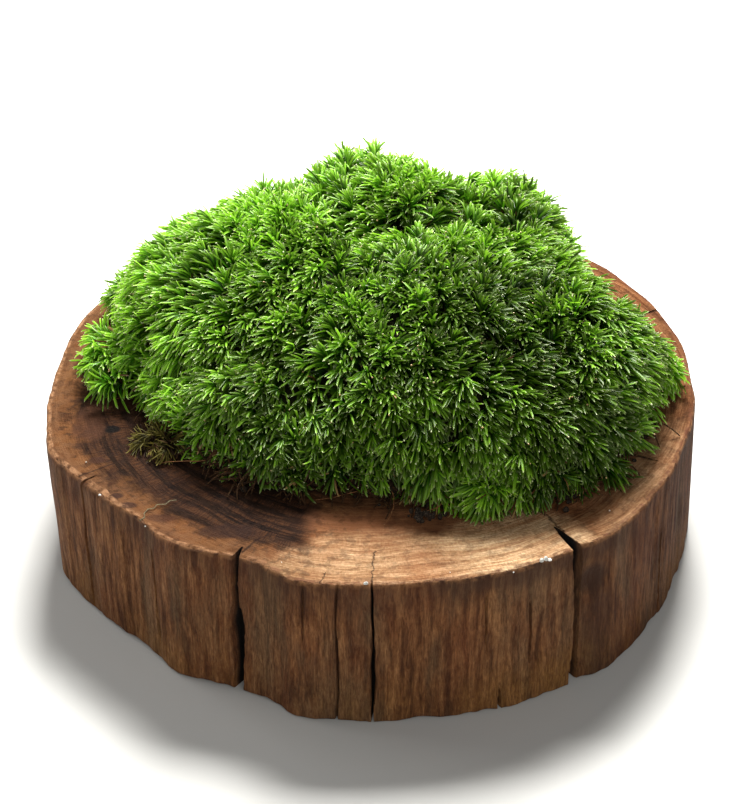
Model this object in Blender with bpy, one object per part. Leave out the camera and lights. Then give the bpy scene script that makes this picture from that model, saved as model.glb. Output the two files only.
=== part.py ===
"""A clump of cushion moss resting on a sawn slice of log.

Run with: blender --background --python part.py

The frame has +Z up and its origin on the underside of the wood slice, at the
heart of the log. +X is the clump's long way and -Y is the side it is seen from.
Every length is in metres.
"""

import math

import bmesh
import bpy
from mathutils import Vector, noise

MM = 0.001

# Driving dimensions
SLICE_HEIGHT = 34.5 * MM
MAT_HEIGHT = 3.0 * MM
CLEARANCE = 0.3 * MM  # between pieces that rest on or against each other

# Wood slice: the outline as (degrees from +X, distance from the heart).
SLICE_OUTLINE = [
    (-180, 71.5 * MM), (-168, 73.0 * MM), (-158, 74.5 * MM), (-150, 72.0 * MM),
    (-143, 70.5 * MM), (-136, 69.0 * MM), (-127, 71.0 * MM), (-120, 69.5 * MM),
    (-115, 67.0 * MM), (-111, 67.5 * MM), (-104, 71.0 * MM), (-97, 70.0 * MM),
    (-85, 69.3 * MM), (-70, 69.5 * MM), (-58, 69.0 * MM), (-54, 70.5 * MM),
    (-46, 69.0 * MM), (-36, 67.5 * MM), (-20, 66.5 * MM), (0, 66.5 * MM),
    (14, 67.5 * MM), (30, 68.5 * MM), (48, 70.0 * MM), (62, 69.0 * MM),
    (78, 71.0 * MM), (96, 70.0 * MM), (112, 72.0 * MM), (126, 70.5 * MM),
    (142, 71.5 * MM), (160, 72.5 * MM),
]
SLICE_SEGMENTS = 120
RIM_BEVEL = 0.8 * MM
LEAN = (1.0 * MM, -0.9 * MM)  # the saw ran askew, so the foot lies this far from the top

# Drying cracks: (degrees from +X, width at the bark side, depth towards the heart).
CRACKS = [
    (-149.0, 2.0 * MM, 14.0 * MM),
    (-115.5, 2.6 * MM, 12.0 * MM),
    (-97.8, 1.0 * MM, 9.0 * MM),
    (-92.3, 1.8 * MM, 16.0 * MM),
    (-57.6, 3.2 * MM, 17.0 * MM),
    (24.0, 1.6 * MM, 12.0 * MM),
    (71.0, 2.4 * MM, 18.0 * MM),
    (118.0, 1.4 * MM, 10.0 * MM),
    (152.0, 1.8 * MM, 12.0 * MM),
]

# Moss lobes: (centre x, y, z above the wood, then the radii along x, y and z).
CUSHION_CENTRE = (1 * MM, 2 * MM, 8 * MM)
CUSHION_LOBES = [
    (18 * MM, -9 * MM, 3 * MM, 43 * MM, 40 * MM, 34 * MM),
    (-22 * MM, 9 * MM, 3 * MM, 37 * MM, 36 * MM, 31.5 * MM),
    (-3 * MM, 33 * MM, 4 * MM, 27 * MM, 29 * MM, 32 * MM),
    (26 * MM, 27 * MM, 4 * MM, 20 * MM, 26 * MM, 29.5 * MM),
    (-19 * MM, -17 * MM, 2 * MM, 26 * MM, 26 * MM, 21 * MM),
]
LOBE_BLEND = 12.0  # the higher, the sharper the valleys between lobes
HUMMOCK_HEIGHT = 1.4 * MM
HUMMOCK_WIDTH = 11.0 * MM
CUSHION_DETAIL = 5  # subdivisions of the ball that the cushion is drawn out of
TUFT_DETAIL = 3

# Tufts that stand apart from the cushion, in the same terms.
TUFTS = {
    "left_tuft": (-58 * MM, 0 * MM, 2 * MM, 8.5 * MM, 15 * MM, 11 * MM),
    "left_back_tuft": (-53 * MM, 26 * MM, 2 * MM, 9 * MM, 11 * MM, 13 * MM),
    "right_tuft": (58 * MM, -4 * MM, 3 * MM, 8 * MM, 9 * MM, 9 * MM),
    "right_back_tuft": (54 * MM, 17 * MM, 2 * MM, 7 * MM, 8 * MM, 10 * MM),
    "front_tuft": (19 * MM, -48 * MM, 2 * MM, 7 * MM, 6.5 * MM, 6 * MM),
    "old_tuft": (-41 * MM, -29 * MM, 1 * MM, 9 * MM, 7 * MM, 6 * MM),
}

# Soil mat: its edge lies this far inside the cushion's tips.
MAT_INSET = 4.5 * MM
MAT_SEGMENTS = 72

CRUMB_PLACE = (7 * MM, -51 * MM)
CRUMB_RADII = (3.2 * MM, 2.0 * MM, 1.8 * MM)


def clear_scene():
    for obj in list(bpy.data.objects):
        bpy.data.objects.remove(obj)


def finish_material(name, colour, roughness):
    material = bpy.data.materials.new(name)
    material.use_nodes = True
    shader = material.node_tree.nodes["Principled BSDF"]
    shader.inputs["Base Color"].default_value = (*colour, 1.0)
    shader.inputs["Roughness"].default_value = roughness
    shader.inputs["Metallic"].default_value = 0.0
    return material


def object_from(name, shape, material=None):
    """Turns a bmesh into a named object and frees the bmesh."""
    bmesh.ops.recalc_face_normals(shape, faces=shape.faces)
    mesh = bpy.data.meshes.new(name)
    shape.to_mesh(mesh)
    shape.free()
    obj = bpy.data.objects.new(name, mesh)
    bpy.context.scene.collection.objects.link(obj)
    if material:
        mesh.materials.append(material)
    return obj


def as_cutter(obj):
    obj.hide_render = True
    obj.display_type = "WIRE"
    return obj


def cut(target, cutter):
    """Takes the cutter's shape out of the target, with a modifier that stays on it."""
    modifier = target.modifiers.new(f"clear_{cutter.name}", "BOOLEAN")
    modifier.operation = "DIFFERENCE"
    modifier.solver = "EXACT"
    modifier.object = cutter


# The wood slice


def slice_radius(degrees):
    """Distance from the heart to the outside, smooth between the outline's points."""
    wrapped = (degrees + 180.0) % 360.0 - 180.0
    closed = [*SLICE_OUTLINE, (180, SLICE_OUTLINE[0][1])]
    for (start, near), (end, far) in zip(closed, closed[1:]):
        if start <= wrapped <= end:
            share = (wrapped - start) / (end - start)
            share = share * share * (3.0 - 2.0 * share)
            return near + (far - near) * share
    raise ValueError(f"no outline at {degrees} degrees")


def ring_of(shape, radius_at, height, segments, shift=(0.0, 0.0)):
    """A closed ring of points round the heart."""
    ring = []
    for step in range(segments):
        degrees = 360.0 * step / segments - 180.0
        turn = math.radians(degrees)
        radius = radius_at(degrees)
        place = (shift[0] + radius * math.cos(turn), shift[1] + radius * math.sin(turn), height)
        ring.append(shape.verts.new(place))
    return ring


def plug_between(shape, rings):
    """Joins rings from bottom to top into one closed body."""
    for lower, upper in zip(rings, rings[1:]):
        for step in range(len(lower)):
            after = (step + 1) % len(lower)
            shape.faces.new((lower[step], lower[after], upper[after], upper[step]))
    shape.faces.new(list(reversed(rings[0])))
    shape.faces.new(rings[-1])


def crack_cutter(number, degrees, width, depth):
    """A wedge that is widest outside the wood and closes towards the heart."""
    turn = Vector((math.cos(math.radians(degrees)), math.sin(math.radians(degrees)), 0.0))
    across = Vector((-turn.y, turn.x, 0.0))
    outside = slice_radius(degrees)
    beyond = 4.0 * MM
    half = 0.5 * width * (depth + beyond) / depth
    corners = [
        turn * (outside - depth),
        turn * (outside + beyond) - across * half,
        turn * (outside + beyond) + across * half,
    ]
    shape = bmesh.new()
    base = shape.faces.new([shape.verts.new(corner - Vector((0, 0, beyond))) for corner in corners])
    grown = bmesh.ops.extrude_face_region(shape, geom=[base])
    raised = [item for item in grown["geom"] if isinstance(item, bmesh.types.BMVert)]
    bmesh.ops.translate(shape, verts=raised, vec=(0, 0, SLICE_HEIGHT + 2 * beyond))
    return as_cutter(object_from(f"crack_cutter_{number}", shape))


def make_wood_slice():
    shape = bmesh.new()
    rings = [
        ring_of(shape, lambda at: slice_radius(at) - RIM_BEVEL, 0.0, SLICE_SEGMENTS, LEAN),
        ring_of(shape, slice_radius, RIM_BEVEL, SLICE_SEGMENTS, LEAN),
        ring_of(shape, slice_radius, SLICE_HEIGHT - RIM_BEVEL, SLICE_SEGMENTS),
        ring_of(shape, lambda at: slice_radius(at) - RIM_BEVEL, SLICE_HEIGHT, SLICE_SEGMENTS),
    ]
    plug_between(shape, rings)
    wood = object_from("wood_slice", shape, finish_material("weathered_wood", (0.26, 0.13, 0.055), 0.75))
    for number, crack in enumerate(CRACKS):
        cut(wood, crack_cutter(number, *crack))
    return wood


# Moss


def lobe_reach(origin, direction, lobe):
    """How far a ray from origin goes before it leaves the lobe, or 0 if it misses."""
    centre, radii = Vector(lobe[:3]), lobe[3:]
    start = Vector(((origin[i] - centre[i]) / radii[i] for i in range(3)))
    heading = Vector((direction[i] / radii[i] for i in range(3)))
    a = heading.dot(heading)
    b = start.dot(heading)
    inside = b * b - a * (start.dot(start) - 1.0)
    if inside < 0.0:
        return 0.0
    return max(0.0, (-b + math.sqrt(inside)) / a)


def blended_reach(origin, direction, lobes):
    """The lobes' common outside, with the valleys between them rounded."""
    reaches = [lobe_reach(origin, direction, lobe) for lobe in lobes]
    longest = max(reaches)
    total = sum((reach / longest) ** LOBE_BLEND for reach in reaches)
    return longest * total ** (1.0 / LOBE_BLEND)


def lump(name, origin, lobes, floor, subdivisions, grown=0.0, material=None):
    """A closed lump that reaches the leaf tips of its lobes, cut flat at floor above the wood."""
    shape = bmesh.new()
    bmesh.ops.create_icosphere(shape, subdivisions=subdivisions, radius=1.0)
    for vert in shape.verts:
        heading = vert.co.normalized()
        reach = blended_reach(origin, heading, lobes) + grown
        place = Vector(origin) + heading * reach
        hummock = noise.noise(place / HUMMOCK_WIDTH)
        vert.co = place + heading * hummock * HUMMOCK_HEIGHT
    bmesh.ops.bisect_plane(
        shape,
        geom=[*shape.verts, *shape.edges, *shape.faces],
        plane_co=(0, 0, floor - grown),
        plane_no=(0, 0, -1),
        clear_outer=True,
    )
    bmesh.ops.holes_fill(shape, edges=[edge for edge in shape.edges if edge.is_boundary])
    bmesh.ops.translate(shape, verts=shape.verts, vec=(0, 0, SLICE_HEIGHT))
    obj = object_from(name, shape, material)
    obj.data.shade_smooth()
    return obj


def mat_radius(degrees):
    """The mat follows the foot of the cushion, a little inside its leaf tips."""
    turn = math.radians(degrees)
    foot = (CUSHION_CENTRE[0], CUSHION_CENTRE[1], MAT_HEIGHT)
    reach = blended_reach(foot, Vector((math.cos(turn), math.sin(turn), 0.0)), CUSHION_LOBES)
    ragged = noise.noise(Vector((math.cos(turn), math.sin(turn), 0.0)) * 5.0)
    return reach - MAT_INSET + ragged * 1.5 * MM


def make_soil_mat(material):
    shape = bmesh.new()
    low = SLICE_HEIGHT + CLEARANCE
    rings = [
        ring_of(shape, lambda at: mat_radius(at) - 1.0 * MM, low, MAT_SEGMENTS),
        ring_of(shape, mat_radius, low + 1.0 * MM, MAT_SEGMENTS),
        ring_of(shape, lambda at: mat_radius(at) - 0.5 * MM, SLICE_HEIGHT + MAT_HEIGHT, MAT_SEGMENTS),
    ]
    plug_between(shape, rings)
    bmesh.ops.translate(shape, verts=shape.verts, vec=(*CUSHION_CENTRE[:2], 0.0))
    return object_from("soil_mat", shape, material)


def make_moss(green, old):
    """The cushion on its mat, and the tufts that stand round it on the wood."""
    lump(
        "moss_cushion", CUSHION_CENTRE, CUSHION_LOBES,
        floor=MAT_HEIGHT + CLEARANCE, subdivisions=CUSHION_DETAIL, material=green,
    )
    gap = as_cutter(lump(
        "cushion_clearance", CUSHION_CENTRE, CUSHION_LOBES,
        floor=0.0, subdivisions=CUSHION_DETAIL, grown=CLEARANCE,
    ))
    for name, lobe in TUFTS.items():
        tuft = lump(
            name, lobe[:3], [lobe], floor=CLEARANCE, subdivisions=TUFT_DETAIL,
            material=old if name == "old_tuft" else green,
        )
        cut(tuft, gap)


def make_soil_crumb(material):
    shape = bmesh.new()
    bmesh.ops.create_icosphere(shape, subdivisions=2, radius=1.0)
    for vert in shape.verts:
        rough = 1.0 + 0.25 * noise.noise(vert.co * 2.3)
        vert.co = Vector(co * radius * rough for co, radius in zip(vert.co, CRUMB_RADII))
    lowest = min(vert.co.z for vert in shape.verts)
    rest = (*CRUMB_PLACE, SLICE_HEIGHT + CLEARANCE - lowest)
    bmesh.ops.translate(shape, verts=shape.verts, vec=rest)
    return object_from("soil_crumb", shape, material)


def main():
    clear_scene()
    green = finish_material("fresh_moss", (0.13, 0.30, 0.03), 0.45)
    old = finish_material("old_moss", (0.20, 0.17, 0.05), 0.6)
    soil = finish_material("dark_soil", (0.035, 0.022, 0.014), 0.9)
    make_wood_slice()
    make_soil_mat(soil)
    make_moss(green, old)
    make_soil_crumb(soil)


main()
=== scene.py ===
"""A clump of cushion moss on a sawn slice of log: the look of every surface.

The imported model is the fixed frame. Around it this script grows the moss shoot
by shoot and leaf by leaf, saws and cracks the wood slice at full detail, lays
the soil, roots and lint between them, and sets up a plain studio.

Lengths are in metres, written as a number of millimetres times MM. Shader node
groups work in millimetres, on object coordinates scaled once in each finish.
"""

import itertools
import logging
import math
from collections.abc import Sequence
from dataclasses import dataclass, fields
from enum import Enum

import bpy
import numpy as np
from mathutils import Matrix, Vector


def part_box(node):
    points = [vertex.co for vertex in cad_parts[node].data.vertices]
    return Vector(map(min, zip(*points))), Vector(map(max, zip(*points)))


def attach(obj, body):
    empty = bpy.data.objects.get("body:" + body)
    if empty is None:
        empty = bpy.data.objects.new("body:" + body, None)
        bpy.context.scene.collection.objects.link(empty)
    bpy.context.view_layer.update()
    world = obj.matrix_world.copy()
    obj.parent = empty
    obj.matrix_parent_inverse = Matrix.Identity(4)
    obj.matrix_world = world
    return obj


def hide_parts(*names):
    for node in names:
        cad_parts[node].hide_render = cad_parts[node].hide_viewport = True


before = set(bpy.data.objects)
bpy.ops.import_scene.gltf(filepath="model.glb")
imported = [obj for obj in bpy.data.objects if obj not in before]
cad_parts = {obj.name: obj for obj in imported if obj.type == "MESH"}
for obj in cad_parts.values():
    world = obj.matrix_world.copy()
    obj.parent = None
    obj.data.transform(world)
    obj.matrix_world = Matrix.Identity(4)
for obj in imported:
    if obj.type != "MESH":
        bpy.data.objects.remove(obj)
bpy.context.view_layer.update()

MM = 0.001
PER_MM = 1000.0
GOLDEN_ANGLE = math.radians(137.508)
BODY = "root"
TONES = 24  # how many tones a leaf may take; the last two are straw and brown

Colour = tuple[float, float, float, float]
WHITE: Colour = (1.0, 1.0, 1.0, 1.0)
Socket = bpy.types.NodeSocket

log = logging.getLogger("moss_clump")


class Slot(Enum):
    """The record's material slots."""

    WOOD = "weathered_wood"
    FRESH = "fresh_moss"
    OLD = "old_moss"
    SOIL = "dark_soil"


class Face(Enum):
    """The two kinds of surface on the wood slice, as material indices."""

    BARKLESS = 0
    SAWN = 1


def paint(red: int, green: int, blue: int) -> Colour:
    """Turns a colour as a paint chart gives it, 0 to 255, into linear light.

    Args:
        red: Red share.
        green: Green share.
        blue: Blue share.

    Returns:
        The colour with full opacity, as a shader socket takes it.
    """
    shares = [value / 255.0 for value in (red, green, blue)]
    linear = [s / 12.92 if s <= 0.04045 else ((s + 0.055) / 1.055) ** 2.4 for s in shares]
    return (linear[0], linear[1], linear[2], 1.0)


def unit(vectors: np.ndarray) -> np.ndarray:
    """Scales each row to length one."""
    return vectors / np.maximum(np.linalg.norm(vectors, axis=-1, keepdims=True), 1e-12)


def smooth(low: float, high: float, values: np.ndarray) -> np.ndarray:
    """Eases from 0 at low to 1 at high."""
    share = np.clip((values - low) / (high - low), 0.0, 1.0)
    return share * share * (3.0 - 2.0 * share)


class Lumps:
    """Smooth seeded noise over space, the same on each run."""

    CELLS = 32

    def __init__(self, seed: int) -> None:
        """Fills the lattice that the noise is drawn through."""
        self.lattice = np.random.default_rng(seed).uniform(-1.0, 1.0, (self.CELLS,) * 3)

    def at(self, points: np.ndarray, size: float) -> np.ndarray:
        """Reads the noise.

        Args:
            points: Places, one row of three each.
            size: Distance between one lump and the next.

        Returns:
            One value for each place, from -1 to 1.
        """
        scaled = points / size
        cell = np.floor(scaled).astype(int)
        part = scaled - cell
        part = part * part * (3.0 - 2.0 * part)
        total = np.zeros(len(points))
        for corner in np.ndindex(2, 2, 2):
            share = np.prod(np.where(corner, part, 1.0 - part), axis=1)
            index = (cell + corner) % self.CELLS
            total += share * self.lattice[index[:, 0], index[:, 1], index[:, 2]]
        return total

    def rough(self, points: np.ndarray, size: float, octaves: int = 3) -> np.ndarray:
        """Adds finer and finer lumps, each half as strong as the last.

        Args:
            points: Places, one row of three each.
            size: Distance between the broadest lumps.
            octaves: How many sizes of lump.

        Returns:
            One value for each place.
        """
        total = np.zeros(len(points))
        for octave in range(octaves):
            total += self.at(points + octave * 7.7 * size, size / 2**octave) / 2**octave
        return total / 1.5


def piece_of(name: str, points: np.ndarray, faces: Sequence[np.ndarray]) -> bpy.types.Object:
    """Makes an object from arrays and puts it in the scene.

    Args:
        name: The piece's name.
        points: Corners in metres, one row each.
        faces: Arrays of corner numbers, one row for each face.

    Returns:
        The new object, shaded smooth.
    """
    corners = np.concatenate([rows.ravel() for rows in faces]).astype(np.int32)
    sizes = np.concatenate([np.full(len(rows), rows.shape[1]) for rows in faces])
    starts = np.concatenate([[0], np.cumsum(sizes)[:-1]]).astype(np.int32)
    mesh = bpy.data.meshes.new(name)
    mesh.vertices.add(len(points))
    mesh.vertices.foreach_set("co", points.astype(np.float32).ravel())
    mesh.loops.add(len(corners))
    mesh.loops.foreach_set("vertex_index", corners)
    mesh.polygons.add(len(sizes))
    mesh.polygons.foreach_set("loop_start", starts)
    mesh.update(calc_edges=True)
    mesh.shade_smooth()
    piece = bpy.data.objects.new(name, mesh)
    bpy.context.scene.collection.objects.link(piece)
    return piece


def note_values(piece: bpy.types.Object, name: str, values: np.ndarray) -> None:
    """Stores one number for each corner of a piece, for its shader to read."""
    attribute = piece.data.attributes.new(name, "FLOAT", "POINT")
    attribute.data.foreach_set("value", values.astype(np.float32))


def hand_over(
    piece: bpy.types.Object, look: bpy.types.Material, nodes: Sequence[str] = ()
) -> None:
    """Dresses a finished piece, ties it to the frame and reports it.

    Args:
        piece: The finished object.
        look: Its material.
        nodes: The CAD nodes that it stands for.
    """
    piece.data.materials.append(look)
    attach(piece, BODY)
    if nodes:
        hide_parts(*nodes)
    log.info("%s: %d faces", piece.name, len(piece.data.polygons))


@dataclass
class Surface:
    """A closed surface of triangles, with a normal at each corner."""

    SOLE = -0.95
    TRIES_PER_PLACE = 14.0

    points: np.ndarray
    faces: np.ndarray

    @classmethod
    def of_node(cls, node: str) -> "Surface":
        """Reads a CAD node, with its split corners joined again.

        Args:
            node: The node's name.

        Returns:
            Its surface.
        """
        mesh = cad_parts[node].data
        mesh.calc_loop_triangles()
        points = np.empty(len(mesh.vertices) * 3, np.float32)
        mesh.vertices.foreach_get("co", points)
        faces = np.empty(len(mesh.loop_triangles) * 3, np.int32)
        mesh.loop_triangles.foreach_get("vertices", faces)
        rounded = np.round(points.reshape(-1, 3).astype(float), 6)
        joined, index = np.unique(rounded, axis=0, return_inverse=True)
        return cls(joined, index.reshape(-1)[faces.reshape(-1, 3)])

    @property
    def face_normals(self) -> np.ndarray:
        """Normals of the triangles, each as long as twice its area."""
        a, b, c = (self.points[self.faces[:, i]] for i in range(3))
        return np.cross(b - a, c - a)

    @property
    def open_faces(self) -> np.ndarray:
        """Which triangles are not part of the flat sole that the solid is cut off at."""
        return unit(self.face_normals)[:, 2] > self.SOLE

    @property
    def normals(self) -> np.ndarray:
        """Unit normals at the corners, the flat sole left out.

        Returns:
            One row for each corner.
        """
        total = np.zeros_like(self.points)
        for corner in range(3):
            np.add.at(total, self.faces[self.open_faces, corner], self.face_normals[self.open_faces])
        return unit(total)

    def scatter(self, gap: float, rng: np.random.Generator) -> tuple[np.ndarray, np.ndarray]:
        """Spreads places over the surface, none nearer to another than the gap.

        Args:
            gap: Least distance between two places.
            rng: Source of the random draws.

        Returns:
            The places, and the surface's smooth normal at each.
        """
        doubled = np.linalg.norm(self.face_normals, axis=1) * self.open_faces
        tries = int(doubled.sum() / 2.0 / gap**2 * self.TRIES_PER_PLACE)
        picked = rng.choice(len(self.faces), tries, p=doubled / doubled.sum())
        weights = rng.dirichlet((1.0, 1.0, 1.0), tries)[..., None]
        places = (self.points[self.faces[picked]] * weights).sum(axis=1)
        normals = unit((self.normals[self.faces[picked]] * weights).sum(axis=1))
        cells: dict[tuple[int, int, int], list[int]] = {}
        kept = []
        for number, (place, cell) in enumerate(zip(places, np.floor(places / gap).astype(int).tolist())):
            next_to = itertools.product(*((axis - 1, axis, axis + 1) for axis in cell))
            around = [other for near in next_to for other in cells.get(near, ())]
            if around and (((places[around] - place) ** 2).sum(axis=1) < gap**2).any():
                continue
            cells.setdefault(tuple(cell), []).append(number)
            kept.append(number)
        return places[kept], normals[kept]


def tubes(paths: np.ndarray, radii: np.ndarray, sides: int) -> tuple[np.ndarray, list[np.ndarray]]:
    """Skins many paths of the same number of points as closed-ended tubes.

    Args:
        paths: Points along each path, shaped (paths, points, 3).
        radii: Radius at each of those points.
        sides: Number of sides of each tube.

    Returns:
        Corners and faces, as piece_of takes them.
    """
    count, steps, _ = paths.shape
    along = unit(np.gradient(paths, axis=1))
    guide = np.where(np.abs(along[..., 2:]) > 0.9, [[[1.0, 0.0, 0.0]]], [[[0.0, 0.0, 1.0]]])
    across = unit(np.cross(along, guide))
    over = np.cross(along, across)
    turns = np.arange(sides) * 2.0 * math.pi / sides
    rings = (
        paths[:, :, None]
        + radii[..., None, None] * np.cos(turns)[:, None] * across[:, :, None]
        + radii[..., None, None] * np.sin(turns)[:, None] * over[:, :, None]
    )
    number = np.arange(count * steps * sides).reshape(count, steps, sides)
    near, far = number[:, :-1], number[:, 1:]
    walls = np.stack([near, np.roll(near, -1, 2), np.roll(far, -1, 2), far], axis=-1).reshape(-1, 4)
    ends = np.concatenate([number[:, 0, ::-1], number[:, -1]])
    return rings.reshape(-1, 3), [walls, ends]


def round_axis(angles: np.ndarray, radii: np.ndarray | float, heights: np.ndarray | float) -> np.ndarray:
    """Places round the upright axis, a row of three for each angle."""
    return np.stack(np.broadcast_arrays(np.cos(angles) * radii, np.sin(angles) * radii, heights), axis=1)


def faces_between(rings: np.ndarray) -> np.ndarray:
    """Four-cornered faces between closed rings, given the corner numbers of each ring."""
    inner, outer = rings[:-1], rings[1:]
    return np.stack([inner, outer, np.roll(outer, -1, 1), np.roll(inner, -1, 1)], axis=-1).reshape(-1, 4)


def ball(detail: int) -> Surface:
    """A unit ball of triangles, each face of an octahedron split the given number of times.

    Args:
        detail: How often each face is split.

    Returns:
        The ball.
    """
    points = np.array([(1, 0, 0), (0, 1, 0), (-1, 0, 0), (0, -1, 0), (0, 0, 1), (0, 0, -1)], float)
    faces = np.array([(0, 1, 4), (1, 2, 4), (2, 3, 4), (3, 0, 4), (1, 0, 5), (2, 1, 5), (3, 2, 5), (0, 3, 5)])
    for _ in range(detail):
        corners = points[faces]
        halves = unit((corners + np.roll(corners, -1, axis=1)) / 2.0)
        a, b, c = (corners[:, i] for i in range(3))
        ab, bc, ca = (halves[:, i] for i in range(3))
        split = np.stack([a, ab, ca, ab, b, bc, ca, bc, c, ab, bc, ca], axis=1).reshape(-1, 3)
        points, index = np.unique(np.round(split, 7), axis=0, return_inverse=True)
        faces = index.reshape(-1, 3)
    return Surface(points, faces)


# ---------------------------------------------------------------- shader tools


class Graph:
    """A node tree being filled, with a method for each kind of node that the finishes use."""

    def __init__(self, tree: bpy.types.NodeTree) -> None:
        """Takes the tree to fill."""
        self.tree = tree

    def node(self, kind: str, **settings: object) -> bpy.types.Node:
        """Adds a node.

        Args:
            kind: The node's type.
            **settings: The properties that it is given.

        Returns:
            The node.
        """
        made = self.tree.nodes.new(kind)
        for name, value in settings.items():
            setattr(made, name, value)
        return made

    def feed(self, socket: Socket, value: object) -> None:
        """Gives a socket its value.

        Args:
            socket: The input to feed.
            value: Another socket to link it to, or the number, vector or colour that it is to hold.
        """
        if isinstance(value, bpy.types.NodeSocket):
            self.tree.links.new(value, socket)
        else:
            socket.default_value = value

    def fill(self, node: bpy.types.Node, values: dict[str | int, object]) -> None:
        """Feeds several inputs of a node, by their names or numbers."""
        for name, value in values.items():
            self.feed(node.inputs[name], value)

    def made(
        self, kind: str, values: dict[str | int, object], gives: str | int = 0, **settings: object
    ) -> Socket:
        """Adds a node and feeds it.

        Args:
            kind: The node's type.
            values: What its inputs are fed, by name or number.
            gives: Name or number of the output that is wanted.
            **settings: The properties that it is given.

        Returns:
            That output.
        """
        node = self.node(kind, **settings)
        self.fill(node, values)
        return node.outputs[gives]

    def maths(self, operation: str, first: object, second: object = 0.0, clamp: bool = False) -> Socket:
        """Works out one operation on two numbers."""
        return self.made("ShaderNodeMath", {0: first, 1: second}, operation=operation, use_clamp=clamp)

    def times(self, first: object, second: object) -> Socket:
        """Multiplies two numbers."""
        return self.maths("MULTIPLY", first, second)

    def plus(self, first: object, second: object) -> Socket:
        """Adds two numbers."""
        return self.maths("ADD", first, second)

    def less(self, first: object, second: object) -> Socket:
        """Takes the second number from the first."""
        return self.maths("SUBTRACT", first, second)

    def vector(self, operation: str, first: object, second: object = (0.0, 0.0, 0.0)) -> Socket:
        """Works out one operation on two vectors; LENGTH, DISTANCE and DOT_PRODUCT give a number."""
        gives = "Value" if operation in ("LENGTH", "DISTANCE", "DOT_PRODUCT") else "Vector"
        return self.made("ShaderNodeVectorMath", {0: first, 1: second}, gives, operation=operation)

    def mix(self, share: object, first: object, second: object, blend: str = "MIX") -> Socket:
        """Mixes two colours, the second by its share."""
        values = {0: share, 6: first, 7: second}
        return self.made("ShaderNodeMix", values, 2, data_type="RGBA", blend_type=blend)

    def band(self, value: object, low: object, high: object, floor: float = 0.0, top: float = 1.0) -> Socket:
        """Eases from floor, where the value is low, to top, where it is high."""
        values = {0: value, 1: low, 2: high, 3: floor, 4: top}
        return self.made("ShaderNodeMapRange", values, interpolation_type="SMOOTHSTEP")

    def noise(self, place: Socket, scale: object, detail: float = 3.0, rough: float = 0.55) -> Socket:
        """Cloudy noise, about 0.5 on average, with scale lumps for each millimetre."""
        values = {"Vector": place, "Scale": scale, "Detail": detail, "Roughness": rough}
        return self.made("ShaderNodeTexNoise", values)

    def ramp(self, value: Socket, stops: Sequence[tuple[float, Colour]]) -> Socket:
        """Reads a colour off a row of colour stops.

        Args:
            value: Where on the row to read.
            stops: Place and colour of each stop.

        Returns:
            The colour.
        """
        made = self.node("ShaderNodeValToRGB")
        elements = made.color_ramp.elements
        elements[0].position, elements[0].color = stops[0]
        elements[1].position, elements[1].color = stops[-1]
        for position, colour in stops[1:-1]:
            elements.new(position).color = colour
        self.feed(made.inputs[0], value)
        return made.outputs[0]

    def joined(self, x: object, y: object, z: object) -> Socket:
        """Puts three numbers together as a vector."""
        return self.made("ShaderNodeCombineXYZ", {0: x, 1: y, 2: z})

    def parts(self, vector: Socket) -> list[Socket]:
        """Takes a vector apart into its three numbers."""
        whole = self.made("ShaderNodeSeparateXYZ", {0: vector})
        return list(whole.node.outputs)

    def stored(self, name: str) -> Socket:
        """Reads a number that the piece's mesh holds."""
        return self.made("ShaderNodeAttribute", {}, "Fac", attribute_name=name)

    def millimetres(self) -> Socket:
        """Object coordinates, in millimetres."""
        source = self.made("ShaderNodeTexCoord", {}, "Object")
        return self.vector("MULTIPLY", source, (PER_MM,) * 3)

    def effect(self, tree: bpy.types.NodeTree, **values: object) -> bpy.types.Node:
        """Places a shared effect.

        Args:
            tree: The effect's node group.
            **values: What its inputs are fed, named in lower case with underscores.

        Returns:
            The group node.
        """
        made = self.node("ShaderNodeGroup", node_tree=tree)
        self.fill(made, {name.replace("_", " ").title(): value for name, value in values.items()})
        return made

    def bump(self, height: Socket, strength: float, depth: float) -> Socket:
        """A normal raised by a height; depth is in metres."""
        return self.made("ShaderNodeBump", {"Height": height, "Strength": strength, "Distance": depth})


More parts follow.
